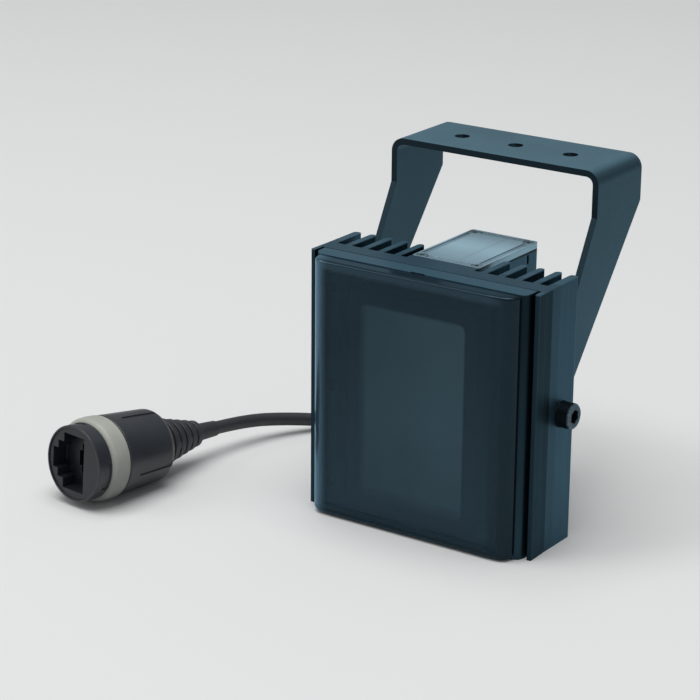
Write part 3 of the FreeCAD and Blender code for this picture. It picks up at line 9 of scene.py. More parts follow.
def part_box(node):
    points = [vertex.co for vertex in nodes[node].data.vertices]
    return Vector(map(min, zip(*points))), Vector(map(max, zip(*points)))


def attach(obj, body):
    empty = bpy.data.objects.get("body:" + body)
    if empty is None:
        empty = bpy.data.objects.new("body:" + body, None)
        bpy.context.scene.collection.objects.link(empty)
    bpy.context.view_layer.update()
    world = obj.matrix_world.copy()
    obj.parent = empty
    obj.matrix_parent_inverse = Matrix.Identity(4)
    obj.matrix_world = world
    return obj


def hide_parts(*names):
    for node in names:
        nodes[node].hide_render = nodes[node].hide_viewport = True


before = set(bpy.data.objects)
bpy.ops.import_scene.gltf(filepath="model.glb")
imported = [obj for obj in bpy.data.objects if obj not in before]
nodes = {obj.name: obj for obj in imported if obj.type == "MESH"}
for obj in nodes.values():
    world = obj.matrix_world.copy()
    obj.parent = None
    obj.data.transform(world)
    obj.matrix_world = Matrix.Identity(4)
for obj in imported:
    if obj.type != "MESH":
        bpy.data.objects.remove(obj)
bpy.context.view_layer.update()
MM = 0.001

# Camera, as solved from the housing's edges in the photograph
CAMERA_AZIMUTH = 34.434
CAMERA_ELEVATION = 18.928
CAMERA_ROLL = 0.4915
CAMERA_EYE = Vector((481.755, -749.605, 378.593)) * MM
CAMERA_SENSOR = 36.0
CAMERA_LENS = 2506.94 / 700 * CAMERA_SENSOR

# Free cable: the route's points, from the gland's nut to the socket's strain relief
CABLE_DIAMETER = 5.5 * MM
CABLE_POINTS = [
    (1.2, 76.5, 16.0),
    (1.2, 94.5, 16.0),
    (-4.5, 113.0, 12.4),
    (-18.5, 127.0, 7.4),
    (-39.0, 131.5, 4.0),
    (-60.0, 125.5, 2.9),
    (-75.0, 109.5, 2.8),
    (-82.5, 89.5, 2.8),
    (-91.0, 71.0, 3.8),
    (-102.5, 54.5, 7.0),
    (-109.5, 35.77, 10.24),
    (-112.0, 18.0, 11.68),
]

# Places on the CAD model that the materials go by, in metres
HOUSING_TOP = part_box("heatsink")[1][2]
TOP_SKIN = 0.4 * MM
STRIP_START_Y = 0.7 * MM
STRIP_END_Y = 10.3 * MM
WALL_FACE_X = 48.9 * MM
# Heights over which the painted shade on the side walls, the side strip and the frame's sides changes
WALL_SHADE_Z = 30.0 * MM
STRIP_SHADE_Z = 90.0 * MM
FRAME_SIDE_X = 44.6 * MM
FRAME_BACK_Y = 4.7 * MM
FIN_SPACE_X = (15.2 * MM, 46.6 * MM)
FIN_SPACE_Y = (5.4 * MM, 31.0 * MM)
# Heights over which the painted shade on the bracket's arms changes
ARM_SHADE_Z = (80.0 * MM, 135.0 * MM)
BOX_START_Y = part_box("driver_box")[0][1]
CAP_LOW, CAP_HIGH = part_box("box_top_cap")
CAP_MIDDLE_Y = (CAP_LOW[1] + CAP_HIGH[1]) / 2
CAP_SIDE = 1.2 * MM
CAP_RIM = 1.0 * MM
CAP_BORDER = 3.4 * MM
CAP_LINE_X = 3.2 * MM
CAP_LINE_HALF_WIDTH = 0.3 * MM
WINDOW_CLEAR_X = 39.0 * MM
WINDOW_EDGE_X = 45.0 * MM
WINDOW_RIM = 8.5 * MM
WINDOW_CLEAR_Z = (4.0 * MM, 100.5 * MM)
# Heights over which the window's painted light changes
WINDOW_LIGHT_Z = (12.0 * MM, 75.0 * MM)
LENS_LOW, LENS_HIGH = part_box("lens_plate")
LENS_FULL_X = 12.0 * MM
LENS_FULL_Z = 45.0 * MM
LENS_EDGE_LEFT = 4.0 * MM
LENS_EDGE_RIGHT = 1.0 * MM
LENS_EDGE_TOP = 1.5 * MM
LENS_EDGE_BOTTOM = 6.0 * MM

# Pivot bolts, and the knurled bands added round their heads
BOLT_LOW, BOLT_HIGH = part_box("pivot_bolts")
BOLT_END_X = BOLT_HIGH[0]
BOLT_Y = (BOLT_LOW[1] + BOLT_HIGH[1]) / 2
BOLT_Z = (BOLT_LOW[2] + BOLT_HIGH[2]) / 2
BOLT_RADIUS = (BOLT_HIGH[1] - BOLT_LOW[1]) / 2
BOLT_HEAD_LENGTH = 5.7 * MM
BOLT_END_SKIN = 0.4 * MM
BOLT_RIM_SKIN = 0.8 * MM
BOLT_RIM_WIDTH = 0.7 * MM
KNURL_RIDGES = 40
KNURL_STEPS = 4
KNURL_CREST = BOLT_RADIUS + 0.13 * MM
KNURL_VALLEY = BOLT_RADIUS - 0.10 * MM
KNURL_INNER = BOLT_RADIUS - 0.4 * MM
KNURL_START_X = BOLT_END_X - BOLT_HEAD_LENGTH + 0.3 * MM
KNURL_END_X = BOLT_END_X - 0.45 * MM

# Colours, as linear red, green and blue
ANODISED_COLOUR = (0.036, 0.077, 0.106)
CAP_COLOUR = (0.31, 0.47, 0.56)
WINDOW_COLOUR = (0.030, 0.055, 0.075)
# The window's rim colour is a painted highlight.
WINDOW_RIM_COLOUR = (0.18, 0.33, 0.45)
SHEEN_COLOUR = (0.5, 0.8, 1.0)
BRACKET_COLOUR = (0.058, 0.126, 0.166)
BOLT_COLOUR = (0.012, 0.017, 0.022)
# The bolt's end colour is wear; its rim colour is wear and painted highlight.
BOLT_END_COLOUR = (0.07, 0.10, 0.12)
BOLT_RIM_COLOUR = (0.13, 0.19, 0.22)
SCREW_COLOUR = (0.20, 0.29, 0.34)
HIDDEN_SCREW_COLOUR = (0.022, 0.028, 0.032)
LENS_COLOUR = (0.37, 0.64, 0.75)
HOLDER_COLOUR = (0.016, 0.022, 0.028)
JACKET_COLOUR = (0.030, 0.033, 0.039)
SHELL_COLOUR = (0.030, 0.034, 0.041)
RELIEF_COLOUR = (0.028, 0.030, 0.036)
PORT_COLOUR = (0.012, 0.015, 0.020)
RING_COLOUR = (0.40, 0.41, 0.365)
# Edge colours: part wear, part painted highlight. The bright edge is mostly the cap's painted rim highlight.
EDGE_TEAL = (0.11, 0.20, 0.25)
BRIGHT_EDGE = (0.42, 0.58, 0.66)
COOL_TINT = (0.62, 0.85, 1.0)
WINDOW_ALPHA = 0.45
LOW_SPECULAR = 0.2

# Shader settings that every material shares
EDGE_ON = 0.82
EDGE_OFF = 0.985
MASK_SOFTNESS = 0.1 * MM
MIX_BELOW = 6
MIX_ABOVE = 7
MIX_RESULT = 2

# Lamps: name, place, size in metres and power in watts. They and the world add up to about 1 on the floor.
LAMPS = [
    ("top_light", (-0.1, -0.3, 2.6), 2.2, 57.0),
    ("left_light", (-1.6, -1.2, 1.2), 1.2, 8.0),
    ("right_light", (1.8, -0.4, 0.6), 1.2, 1.5),
]
LAMP_AIM = (-0.02, 0.02, 0.06)
WORLD_COLOUR = (0.94, 0.97, 1.0, 1)
WORLD_STRENGTH = 0.28
FLOOR_HALF_SIZE = 6.0
FLOOR_COLOUR = (0.75, 0.755, 0.75)
FLOOR_BOUNCE = (0.26, 0.27, 0.28)


def make_camera():
    """The solved camera: its place, its direction and its roll."""
    azimuth = math.radians(CAMERA_AZIMUTH)
    elevation = math.radians(CAMERA_ELEVATION)
    roll = math.radians(CAMERA_ROLL)
    back = Vector((
        math.sin(azimuth) * math.cos(elevation),
        -math.cos(azimuth) * math.cos(elevation),
        math.sin(elevation),
    ))
    level = Vector((math.cos(azimuth), math.sin(azimuth), 0))
    above = back.cross(level)
    right = level * math.cos(roll) + above * math.sin(roll)
    up = above * math.cos(roll) - level * math.sin(roll)
    data = bpy.data.cameras.new("camera")
    data.sensor_width = CAMERA_SENSOR
    data.lens = CAMERA_LENS
    camera = bpy.data.objects.new("camera", data)
    bpy.context.scene.collection.objects.link(camera)
    matrix = Matrix((right, up, back)).transposed().to_4x4()
    matrix.translation = CAMERA_EYE
    camera.matrix_world = matrix
    bpy.context.scene.camera = camera


class Shader:
    """A material's node tree, with short calls for what the materials here use."""

    def __init__(self, name, base, roughness, metallic=0.0, specular=0.5, tint=(1, 1, 1)):
        self.material = bpy.data.materials.new(name)
        self.material.use_nodes = True
        self.tree = self.material.node_tree
        self.surface = self.tree.nodes["Principled BSDF"]
        self.put("Base Color", (*base, 1))
        self.put("Roughness", roughness)
        self.put("Metallic", metallic)
        self.put("Specular IOR Level", specular)
        self.put("Specular Tint", (*tint, 1))
        self.base = base
        self.colour = None
        self.normal = None

    def put(self, socket, value):
        """Sets one of the surface's sockets to a plain value."""
        self.surface.inputs[socket].default_value = value

    def drive(self, socket, value):
        """Links one of the surface's sockets to a node's output."""
        self.link(value, self.surface.inputs[socket])

    def node(self, kind, **values):
        made = self.tree.nodes.new(kind)
        for key, value in values.items():
            if key in made.inputs:
                made.inputs[key].default_value = value
            else:
                setattr(made, key, value)
        return made

    def link(self, source, target):
        self.tree.links.new(source, target)

    def split(self, output):
        """X, Y and Z of one of the texture coordinates."""
        coordinates = self.node("ShaderNodeTexCoord")
        parts = self.node("ShaderNodeSeparateXYZ")
        self.link(coordinates.outputs[output], parts.inputs["Vector"])
        return parts.outputs

    def axes(self):
        """Object coordinates in metres."""
        return self.split("Object")

    def facing(self):
        """The surface's direction in the piece's own axes."""
        return self.split("Normal")

    def noise(self, scale, stretch=(1, 1, 1), detail=3.0):
        """Noise in object coordinates, stretched by the inverse of stretch."""
        coordinates = self.node("ShaderNodeTexCoord")
        mapping = self.node("ShaderNodeMapping", Scale=stretch)
        self.link(coordinates.outputs["Object"], mapping.inputs["Vector"])
        made = self.node("ShaderNodeTexNoise", Scale=scale, Detail=detail, Roughness=0.55)
        self.link(mapping.outputs["Vector"], made.inputs["Vector"])
        return made.outputs["Fac"]

    def spread(self, value, low, high, start=0.3, end=0.7):
        """Maps a value from start..end to low..high, and holds it there."""
        made = self.node("ShaderNodeMapRange")
        made.inputs["From Min"].default_value = start
        made.inputs["From Max"].default_value = end
        made.inputs["To Min"].default_value = low
        made.inputs["To Max"].default_value = high
        self.link(value, made.inputs["Value"])
        return made.outputs["Result"]

    def above(self, value, edge, soft=MASK_SOFTNESS):
        """1 where the value is over the edge, else 0."""
        return self.spread(value, 0, 1, edge - soft, edge + soft)

    def below(self, value, edge, soft=MASK_SOFTNESS):
        """1 where the value is under the edge, else 0."""
        return self.spread(value, 1, 0, edge - soft, edge + soft)

    def within(self, value, low, high, soft=MASK_SOFTNESS):
        """1 where the value is between low and high, else 0."""
        return self.times(self.above(value, low, soft), self.below(value, high, soft))

    def math(self, operation, first, second=0.0):
        made = self.node("ShaderNodeMath", operation=operation)
        for socket, value in zip(made.inputs, (first, second)):
            if isinstance(value, (int, float)):
                socket.default_value = value
            else:
                self.link(value, socket)
        return made.outputs["Value"]

    def times(self, first, *others):
        """The product of all the values."""
        for other in others:
            first = self.math("MULTIPLY", first, other)
        return first

    def blend(self, value, colour):
        """Lays a colour over the present one where value is 1."""
        made = self.node("ShaderNodeMix", data_type="RGBA")
        made.inputs[MIX_BELOW].default_value = (*self.base, 1)
        if self.colour is not None:
            self.link(self.colour, made.inputs[MIX_BELOW])
        made.inputs[MIX_ABOVE].default_value = (*colour, 1)
        self.link(value, made.inputs["Factor"])
        self.colour = made.outputs[MIX_RESULT]
        self.drive("Base Color", self.colour)

    def shade(self, value, share):
        """Lays a share of the base colour over the present one where value is 1."""
        self.blend(value, [c * share for c in self.base])

    def mottle(self, scale, depth, detail=3.0):
        """Uneven colour: between 1 - depth and 1 + depth of the base."""
        patch = self.noise(scale, detail=detail)
        self.shade(self.spread(patch, low=1, high=0, start=0.28, end=0.5), 1 - depth)
        self.shade(self.spread(patch, low=0, high=1, start=0.5, end=0.72), 1 + depth)

    def rough(self, value, low, high):
        self.drive("Roughness", self.spread(value, low, high))

    def round_edges(self, radius):
        """Rounds sharp edges in the shading, and returns how near each point is to one."""
        bevel = self.node("ShaderNodeBevel", samples=4, Radius=radius)
        geometry = self.node("ShaderNodeNewGeometry")
        turn = self.node("ShaderNodeVectorMath", operation="DOT_PRODUCT")
        self.link(bevel.outputs["Normal"], turn.inputs[0])
        self.link(geometry.outputs["Normal"], turn.inputs[1])
        self.normal = bevel.outputs["Normal"]
        self.drive("Normal", self.normal)
        return self.spread(turn.outputs["Value"], 1, 0, EDGE_ON, EDGE_OFF)

    def edge_wear_and_highlight(self, radius, colour, amount):
        """Rounds the edges and lightens them unevenly: part wear, part painted highlight."""
        near = self.round_edges(radius)
        rubbed_and_lit = self.spread(self.noise(scale=240, detail=4), 0.35 * amount, amount, start=0.35, end=0.65)
        self.blend(self.times(near, rubbed_and_lit), colour)

    def bump(self, value, depth):
        """Adds a relief of that depth in metres; several calls add up."""
        made = self.node("ShaderNodeBump", Strength=1.0, Distance=depth)
        self.link(value, made.inputs["Height"])
        if self.normal is not None:
            self.link(self.normal, made.inputs["Normal"])
        self.normal = made.outputs["Normal"]
        self.drive("Normal", self.normal)


def anodised_material():
    """Dark anodised extrusion: draw lines along Z, a soft blast grain, edges paler from wear and painted
    highlight, a painted reflection on the frame's top, and painted shade on the side walls, the frame's
    sides and in the fin slots.
    """
    look = Shader("anodised_body", ANODISED_COLOUR, roughness=0.42, specular=LOW_SPECULAR, tint=COOL_TINT)
    x, y, z = look.axes()
    side = look.math("ABSOLUTE", x)
    lines = look.noise(scale=1100, stretch=(1, 1, 0.012))
    grain = look.noise(scale=4200, detail=2)
    under_top = look.below(z, HOUSING_TOP - TOP_SKIN)
    look.mottle(scale=30, depth=0.14, detail=4)
    look.shade(look.times(look.above(y, BOX_START_Y), 0.6), share=1.55)
    look.shade(look.times(look.spread(lines, low=0, high=0.6, start=0.5, end=0.7), under_top), share=1.22)
    look.shade(look.times(look.spread(lines, low=0.5, high=0, start=0.3, end=0.45), under_top), share=0.78)

    in_frame = look.below(y, FRAME_BACK_Y)
    # Painted reflection: the frame's top is made lighter than the rest.
    look.shade(look.times(look.above(z, HOUSING_TOP - TOP_SKIN + MASK_SOFTNESS), in_frame), share=1.35)
    outer = look.times(look.above(side, WALL_FACE_X), under_top)
    # Painted shade: the outer side walls darken towards the top.
    wall_shade = look.spread(z, low=0, high=0.45, start=WALL_SHADE_Z, end=HOUSING_TOP)
    look.shade(look.times(outer, wall_shade), share=0.3)
    # Painted shade: the front strip of each side wall is made much darker, most of all towards the top.
    strip = look.times(outer, look.within(y, STRIP_START_Y, STRIP_END_Y))
    strip_shade = look.spread(z, low=0.6, high=1, start=0, end=STRIP_SHADE_Z)
    look.shade(look.times(strip, strip_shade), share=0.05)
    # Painted shade on the front rim of each side wall.
    look.shade(look.times(outer, look.below(y, STRIP_START_Y)), share=0.45)
    # Painted shade on the frame's sides, in the gap to the walls, lighter towards the bottom.
    frame_side = look.times(look.within(side, FRAME_SIDE_X, WALL_FACE_X), in_frame, under_top)
    frame_shade = look.spread(z, low=0.5, high=1, start=0, end=STRIP_SHADE_Z)
    look.shade(look.times(frame_side, frame_shade), share=0.25)
    # Painted shade in the fin slots. They are also made fully metallic, so they reflect only their darkened
    # colour.
    painted_shade_in_slots = look.times(look.within(side, *FIN_SPACE_X), look.within(y, *FIN_SPACE_Y),
                      look.within(z, TOP_SKIN, HOUSING_TOP - TOP_SKIN))
    look.shade(painted_shade_in_slots, share=0.06)

    metal = look.spread(look.facing()["Z"], low=0.8, high=0.3, start=0.3, end=0.9)
    look.drive("Metallic", look.math("MAXIMUM", metal, painted_shade_in_slots))
    # Paler edges: part wear, part painted highlight.
    look.edge_wear_and_highlight(radius=0.2 * MM, colour=EDGE_TEAL, amount=0.3)
    look.rough(lines, low=0.36, high=0.5)
    look.bump(lines, depth=0.01 * MM)
    look.bump(grain, depth=0.008 * MM)
    return look.material


def cap_material():
    """Pale anodised cover: painted highlight with wear on the rim, painted shade in the sunk border and
    towards the front, and a faint mark across the panel.
    """
    look = Shader("cap_aluminium", CAP_COLOUR, roughness=0.36, tint=COOL_TINT)
    x, y, z = look.axes()
    grain = look.noise(scale=3800, detail=2)
    brush = look.noise(scale=700, stretch=(0.03, 1, 1))
    look.mottle(scale=38, depth=0.10)
    look.shade(look.spread(brush, low=0, high=0.5, start=0.5, end=0.72), share=1.12)

    near_x = look.math("SUBTRACT", CAP_HIGH[0], look.math("ABSOLUTE", x))
    near_y = look.math("ABSOLUTE", look.math("SUBTRACT", y, CAP_MIDDLE_Y))
    near_y = look.math("SUBTRACT", CAP_HIGH[1] - CAP_MIDDLE_Y, near_y)
    inset = look.math("MINIMUM", near_x, near_y)
    upper = look.above(z, CAP_LOW[2] + CAP_SIDE)
    # Painted shade in the sunk border channel.
    border = look.within(inset, CAP_RIM - 0.2 * MM, CAP_BORDER, soft=0.2 * MM)
    look.shade(look.times(border, upper, 0.8), share=0.6)
    line = look.within(x, CAP_LINE_X - CAP_LINE_HALF_WIDTH, CAP_LINE_X + CAP_LINE_HALF_WIDTH,
                       soft=CAP_LINE_HALF_WIDTH)
    look.shade(look.times(line, upper, look.above(inset, CAP_BORDER), 0.6), share=0.6)
    # Painted shade: the panel darkens towards the front.
    front = look.spread(y, low=0.75, high=0, start=CAP_LOW[1], end=CAP_MIDDLE_Y)
    look.shade(look.times(front, upper), share=0.45)

    # Painted rim highlight, laid on together with the edges' wear.
    look.edge_wear_and_highlight(radius=0.4 * MM, colour=BRIGHT_EDGE, amount=0.9)
    look.rough(grain, low=0.3, high=0.44)
    look.drive("Metallic", look.spread(look.facing()["Z"], low=0.75, high=0.12, start=0.2, end=0.9))
    look.bump(grain, depth=0.008 * MM)
    return look.material


def window_material():
    """Smoked cover, solid at its rim, that shows the emitter field behind it faintly; painted light towards
    the bottom, painted shade on the bottom edge and right side, and a painted highlight down the left edge.
    """
    look = Shader("smoked_window", WINDOW_COLOUR, roughness=0.13, metallic=0.7, specular=LOW_SPECULAR,
                  tint=COOL_TINT)
    x, y, z = look.axes()
    look.mottle(scale=16, depth=0.10)
    # Painted light: the face lightens towards the bottom.
    look.shade(look.spread(z, 1, 0, *WINDOW_LIGHT_Z), share=1.45)
    # Painted shade along the bottom edge.
    look.shade(look.below(z, WINDOW_CLEAR_Z[0], soft=MM), share=0.5)
    # Painted highlight down the left edge and its rounding.
    rim = look.spread(x, low=1, high=0, start=-WINDOW_EDGE_X, end=-WINDOW_EDGE_X + WINDOW_RIM)
    look.blend(look.math("POWER", rim, 1.7), WINDOW_RIM_COLOUR)
    # Painted shade on the right side.
    right = look.spread(x, low=0, high=1, start=WINDOW_CLEAR_X - 4 * MM, end=WINDOW_CLEAR_X + 2 * MM)
    look.shade(right, share=0.5)
    look.rough(look.noise(scale=55, detail=5), low=0.1, high=0.18)
    clear = look.times(look.within(x, -WINDOW_CLEAR_X, WINDOW_CLEAR_X, soft=2 * MM),
                       look.within(z, *WINDOW_CLEAR_Z, soft=MM))
    look.drive("Alpha", look.spread(clear, low=1, high=WINDOW_ALPHA, start=0, end=1))
    look.put("Sheen Weight", 0.12)
    look.put("Sheen Roughness", 0.3)
    look.put("Sheen Tint", (*SHEEN_COLOUR, 1))
    return look.material


def bracket_material():
    """Satin powder coat with a fine orange peel; painted shade on its sides, arms, bends and front edge."""
    look = Shader("bracket_paint", BRACKET_COLOUR, roughness=0.4, specular=LOW_SPECULAR, tint=COOL_TINT)
    peel = look.noise(scale=1500, detail=2)
    speck = look.noise(scale=5200, detail=1)
    across, forward, upward = look.facing()
    look.mottle(scale=34, depth=0.12, detail=4)
    look.shade(look.spread(speck, low=0, high=0.7, start=0.62, end=0.72), share=1.5)
    # Painted shade: the outer faces of the arms darken towards the top.
    arm = look.spread(look.math("ABSOLUTE", across), low=0, high=0.5, start=0.5, end=0.95)
    look.shade(look.times(arm, look.spread(look.axes()["Z"], 0, 1, *ARM_SHADE_Z)), share=0.3)
    # Painted shade on every face that does not face straight up.
    look.shade(look.times(look.spread(upward, low=1, high=0, start=0.2, end=0.8), 0.6), share=0.6)
    # Painted shade on the bends between the top plate and the arms.
    look.shade(look.times(look.within(upward, 0.3, 0.85, soft=0.15), 0.7), share=0.45)
    # Painted shade on the faces that face forward, such as the plate's front edge.
    look.shade(look.spread(forward, low=0.95, high=0, start=-0.95, end=-0.7), share=0.15)
    look.drive("Metallic", look.spread(upward, low=0.6, high=0.1, start=0.2, end=0.9))
    # Paler edges: part wear, part painted highlight.
    look.edge_wear_and_highlight(radius=0.3 * MM, colour=EDGE_TEAL, amount=0.15)
    look.rough(peel, low=0.34, high=0.46)
    look.bump(peel, depth=0.03 * MM)
    return look.material


def bolt_material():
    """Black oxide, lighter on its end face from rubbing, and more so at the rim, where the lightening is
    both wear and painted highlight.
    """
    look = Shader("bolt_steel", BOLT_COLOUR, roughness=0.34, metallic=0.6, tint=COOL_TINT)
    x, y, z = look.axes()
    side = look.math("ABSOLUTE", x)
    look.mottle(scale=900, depth=0.35)
    across = look.math("SUBTRACT", y, BOLT_Y)
    up = look.math("SUBTRACT", z, BOLT_Z)
    radius = look.math("SQRT", look.math("ADD", look.times(across, across), look.times(up, up)))
    rubbed_and_lit = look.spread(look.noise(scale=1300), low=0.35, high=1, start=0.4, end=0.6)
    look.blend(look.times(look.above(side, BOLT_END_X - BOLT_END_SKIN), rubbed_and_lit), BOLT_END_COLOUR)
    # The rim's lightening is wear and painted highlight.
    rim = look.times(look.above(radius, BOLT_RADIUS - BOLT_RIM_WIDTH, soft=0.2 * MM),
                     look.above(side, BOLT_END_X - BOLT_RIM_SKIN))
    look.blend(look.times(rim, rubbed_and_lit), BOLT_RIM_COLOUR)
    look.rough(look.noise(scale=700), low=0.28, high=0.45)
    return look.material


def steel_material(name, base, roughness, metallic):
    """Plated metal with fine blotches."""
    look = Shader(name, base, roughness, metallic=metallic)
    look.mottle(scale=1600, depth=0.2)
    look.rough(look.noise(scale=700), low=roughness * 0.8, high=roughness * 1.3)
    return look.material


def plastic_material(name, base, roughness, peel=0.01 * MM, depth=0.12, specular=0.5, edge_wear_and_highlight=0.0):
    """Moulded plastic or rubber: uneven tone, a fine spark-eroded grain, and paler edges where asked."""
    look = Shader(name, base, roughness, specular=specular)
    grain = look.noise(scale=2400)
    look.mottle(scale=70, depth=depth)
    speck = look.noise(scale=5200, detail=1)
    look.shade(look.spread(speck, low=0, high=0.5, start=0.6, end=0.75), share=1.4)
    # Paler edges: part wear, part painted highlight.
    if edge_wear_and_highlight > 0:
        look.edge_wear_and_highlight(0.4 * MM, [min(1.0, c * 2.4 + 0.01) for c in base], edge_wear_and_highlight)
    look.rough(grain, low=roughness * 0.85, high=roughness * 1.2)
    look.bump(grain, depth=peel)
    return look.material


def smooth_material(name, base):
    """Dull moulding or board behind the window, with a slow change of tone only."""
    look = Shader(name, base, 0.6, specular=0.1)
    look.mottle(scale=40, depth=0.08)
    look.rough(look.noise(scale=60), low=0.55, high=0.65)
    return look.material


def lens_material():
    """Lens plate as it shows through the window: even at its upper right, faded to the left and below."""
    look = Shader("clear_lens", LENS_COLOUR, roughness=0.6, specular=0.1)
    x, y, z = look.axes()
    look.mottle(scale=40, depth=0.08)
    shown = look.times(
        look.spread(x, low=0.6, high=1.0, start=LENS_LOW[0], end=LENS_FULL_X),
        look.spread(z, low=0.42, high=0.92, start=LENS_LOW[2], end=LENS_FULL_Z),
        look.spread(x, low=0, high=1, start=LENS_LOW[0], end=LENS_LOW[0] + LENS_EDGE_LEFT),
        look.spread(x, low=1, high=0, start=LENS_HIGH[0] - LENS_EDGE_RIGHT, end=LENS_HIGH[0]),
        look.spread(z, low=1, high=0, start=LENS_HIGH[2] - LENS_EDGE_TOP, end=LENS_HIGH[2]),
        look.spread(z, low=0, high=1, start=LENS_LOW[2], end=LENS_LOW[2] + LENS_EDGE_BOTTOM),
    )
    look.blend(look.math("SUBTRACT", 1.0, shown), HOLDER_COLOUR)
    look.rough(look.noise(scale=60), low=0.55, high=0.65)
    return look.material


def jacket_material(name):
    """Extruded cable jacket: fine drag lines and scuffs."""
    look = Shader(name, JACKET_COLOUR, 0.42)
    look.mottle(scale=55, depth=0.18)
    scuff = look.noise(scale=900, detail=4)
    look.shade(look.spread(scuff, low=0, high=0.6, start=0.56, end=0.7), share=1.5)
    look.rough(look.noise(scale=300, detail=4), low=0.34, high=0.52)
    look.bump(look.noise(scale=1900, detail=2), depth=0.02 * MM)
    return look.material


def dress(names, material):
    """Gives the named nodes one material in place of the plain one."""
    for name in names:
        piece = nodes[name]
        piece.data.materials.clear()
        piece.data.materials.append(material)


def dress_nodes():
    """Materials of every node but the pivot bolts, which share theirs with the knurled bands."""
    dress(["heatsink", "front_frame", "driver_box"], anodised_material())
    dress(["box_top_cap", "box_bottom_cap"], cap_material())
    dress(["front_window"], window_material())
    dress(["bracket"], bracket_material())
    dress(["top_cap_screws", "bottom_cap_screws", "lock_washers"],
          steel_material("screw_steel", SCREW_COLOUR, roughness=0.36, metallic=0.6))
    dress(["board_screws", "frame_screws", "box_screws"],
          smooth_material("screw_black", HIDDEN_SCREW_COLOUR))
    dress(["window_seal", "frame_seal", "gland_seal", "lead_bush"],
          plastic_material("seal_rubber", (0.010, 0.012, 0.014), roughness=0.65, specular=0.3))
    dress(["box_top_gasket", "box_bottom_gasket"],
          plastic_material("gasket_grey", (0.030, 0.062, 0.080), roughness=0.65, specular=0.2))
    dress(["led_board"], smooth_material("emitter_board", (0.030, 0.040, 0.046)))
    dress(["led_emitters"], plastic_material("emitter_dome", (0.35, 0.33, 0.3), roughness=0.15))
    dress(["lens_plate"], lens_material())
    dress(["lens_holder"], smooth_material("holder_plastic", HOLDER_COLOUR))
    dress(["arm_washers"], plastic_material("washer_nylon", (0.03, 0.03, 0.03), roughness=0.45))
    dress(["driver_board"], plastic_material("green_board", (0.02, 0.13, 0.05), roughness=0.35))
    dress(["driver_transformer", "driver_choke"],
          plastic_material("core_ferrite", (0.05, 0.05, 0.055), roughness=0.5))
    dress(["driver_chips", "lan_magnetics"],
          plastic_material("component_black", (0.02, 0.02, 0.02), roughness=0.4))
    dress(["driver_capacitors"], plastic_material("capacitor_sleeve", (0.02, 0.025, 0.06), roughness=0.35))
    dress(["driver_terminals"], plastic_material("terminal_plastic", (0.04, 0.2, 0.07), roughness=0.4))
    dress(["led_leads"], plastic_material("lead_insulation", (0.35, 0.02, 0.02), roughness=0.4))
    dress(["gland_body", "gland_nut", "gland_locknut"],
          plastic_material("gland_plastic", (0.018, 0.021, 0.025), roughness=0.42, edge_wear_and_highlight=0.4))
    dress(["cable_tail"], jacket_material("tail_jacket"))
    dress(["strain_relief"],
          plastic_material("relief_rubber", RELIEF_COLOUR, roughness=0.45, depth=0.2, edge_wear_and_highlight=0.4))
    dress(["socket_shell"],
          plastic_material("connector_plastic", SHELL_COLOUR, roughness=0.33, depth=0.16, edge_wear_and_highlight=0.35))
    dress(["port_insert"], plastic_material("port_plastic", PORT_COLOUR, roughness=0.4, edge_wear_and_highlight=0.4))
    dress(["ring_seal"], plastic_material("ring_rubber", RING_COLOUR, roughness=0.5, peel=0.02 * MM))
    dress(["port_contacts"], steel_material("contact_gold", (0.5, 0.36, 0.14), roughness=0.25, metallic=1.0))


def knurl_rings(form, side):
    """The band's rings of vertices, from its seat round to its inside. Each station is a place along X and
    the radius there on a ridge and in a groove."""
    stations = [
        (KNURL_START_X, KNURL_INNER, KNURL_INNER),
        (KNURL_START_X, KNURL_CREST - 0.1 * MM, KNURL_VALLEY),
        (KNURL_START_X + 0.2 * MM, KNURL_CREST, KNURL_VALLEY),
        (KNURL_END_X - 0.3 * MM, KNURL_CREST, KNURL_VALLEY),
        (KNURL_END_X, KNURL_CREST - 0.3 * MM, KNURL_VALLEY - 0.1 * MM),
        (KNURL_END_X, KNURL_INNER, KNURL_INNER),
    ]
    count = KNURL_RIDGES * KNURL_STEPS
    rings = []
    for along, ridge, groove in stations:
        ring = []
        for step in range(count):
            radius = ridge if step % KNURL_STEPS < KNURL_STEPS / 2 else groove
            turn = 2 * math.pi * step / count
            ring.append(form.verts.new((
                side * along,
                BOLT_Y + radius * math.cos(turn),
                BOLT_Z + radius * math.sin(turn),
            )))
        rings.append(ring)
    return rings


def make_knurls(material):
    """The ridged band round each pivot bolt's head, from its seat to the chamfer."""
    for side, name in ((1, "knurl_right"), (-1, "knurl_left")):
        form = bmesh.new()
        rings = knurl_rings(form, side)
        for first, second in zip(rings, rings[1:] + rings[:1]):
            for step in range(len(first)):
                after = (step + 1) % len(first)
                form.faces.new((first[step], first[after], second[after], second[step]))
        bmesh.ops.recalc_face_normals(form, faces=form.faces)
        mesh = bpy.data.meshes.new(name)
        form.to_mesh(mesh)
        form.free()
        piece = bpy.data.objects.new(name, mesh)
        bpy.context.scene.collection.objects.link(piece)
        mesh.materials.append(material)
        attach(piece, "bracket")


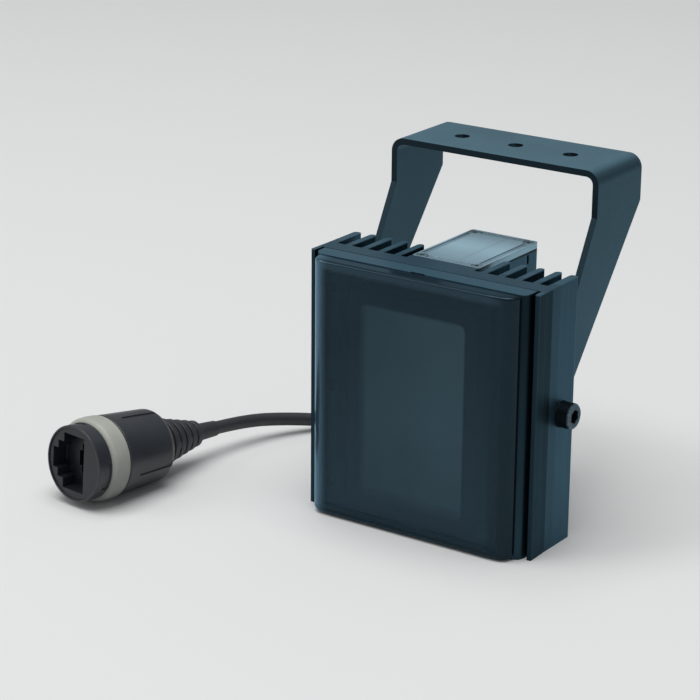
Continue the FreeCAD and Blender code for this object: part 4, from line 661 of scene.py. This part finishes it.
def make_cable():
    """The free cable, as a round curve that stands for the plain CAD tube."""
    curve = bpy.data.curves.new("free_cable", "CURVE")
    curve.dimensions = "3D"
    curve.bevel_depth = CABLE_DIAMETER / 2
    curve.bevel_resolution = 6
    curve.resolution_u = 24
    curve.use_fill_caps = True
    line = curve.splines.new("NURBS")
    line.points.add(len(CABLE_POINTS) - 1)
    for point, place in zip(line.points, CABLE_POINTS):
        point.co = (*(Vector(place) * MM), 1)
    line.order_u = 3
    line.use_endpoint_u = True
    piece = bpy.data.objects.new("free_cable", curve)
    bpy.context.scene.collection.objects.link(piece)
    piece.data.materials.append(jacket_material("cable_jacket"))
    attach(piece, "housing")
    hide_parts("cable")


def make_floor():
    """A plain floor, pale to the camera and in reflections. Other light bounces off it more weakly."""
    mesh = bpy.data.meshes.new("floor")
    form = bmesh.new()
    bmesh.ops.create_grid(form, x_segments=1, y_segments=1, size=FLOOR_HALF_SIZE)
    form.to_mesh(mesh)
    form.free()
    floor = bpy.data.objects.new("floor", mesh)
    bpy.context.scene.collection.objects.link(floor)
    look = Shader("floor", FLOOR_BOUNCE, roughness=0.8, specular=0.1)
    path = look.node("ShaderNodeLightPath").outputs
    seen = look.math("MAXIMUM", path["Is Camera Ray"], path["Is Glossy Ray"])
    seen = look.math("MAXIMUM", seen, path["Is Transmission Ray"])
    look.blend(seen, FLOOR_COLOUR)
    floor.data.materials.append(look.material)


def area_light(name, place, size, power):
    """A square lamp that faces the object."""
    data = bpy.data.lights.new(name, "AREA")
    data.shape = "SQUARE"
    data.size = size
    data.energy = power
    lamp = bpy.data.objects.new(name, data)
    bpy.context.scene.collection.objects.link(lamp)
    lamp.location = place
    lamp.rotation_mode = "QUATERNION"
    lamp.rotation_quaternion = (Vector(LAMP_AIM) - Vector(place)).to_track_quat("-Z", "Y")


def light_scene():
    """An even, slightly cool world, and the lamps."""
    world = bpy.data.worlds.new("world")
    bpy.context.scene.world = world
    world.use_nodes = True
    background = world.node_tree.nodes["Background"]
    background.inputs["Color"].default_value = WORLD_COLOUR
    background.inputs["Strength"].default_value = WORLD_STRENGTH
    for name, place, size, power in LAMPS:
        area_light(name, place, size, power)


make_camera()
make_cable()
dress_nodes()
bolt = bolt_material()
dress(["pivot_bolts"], bolt)
make_knurls(bolt)
make_floor()
light_scene()
bpy.context.scene.view_settings.view_transform = "Standard"
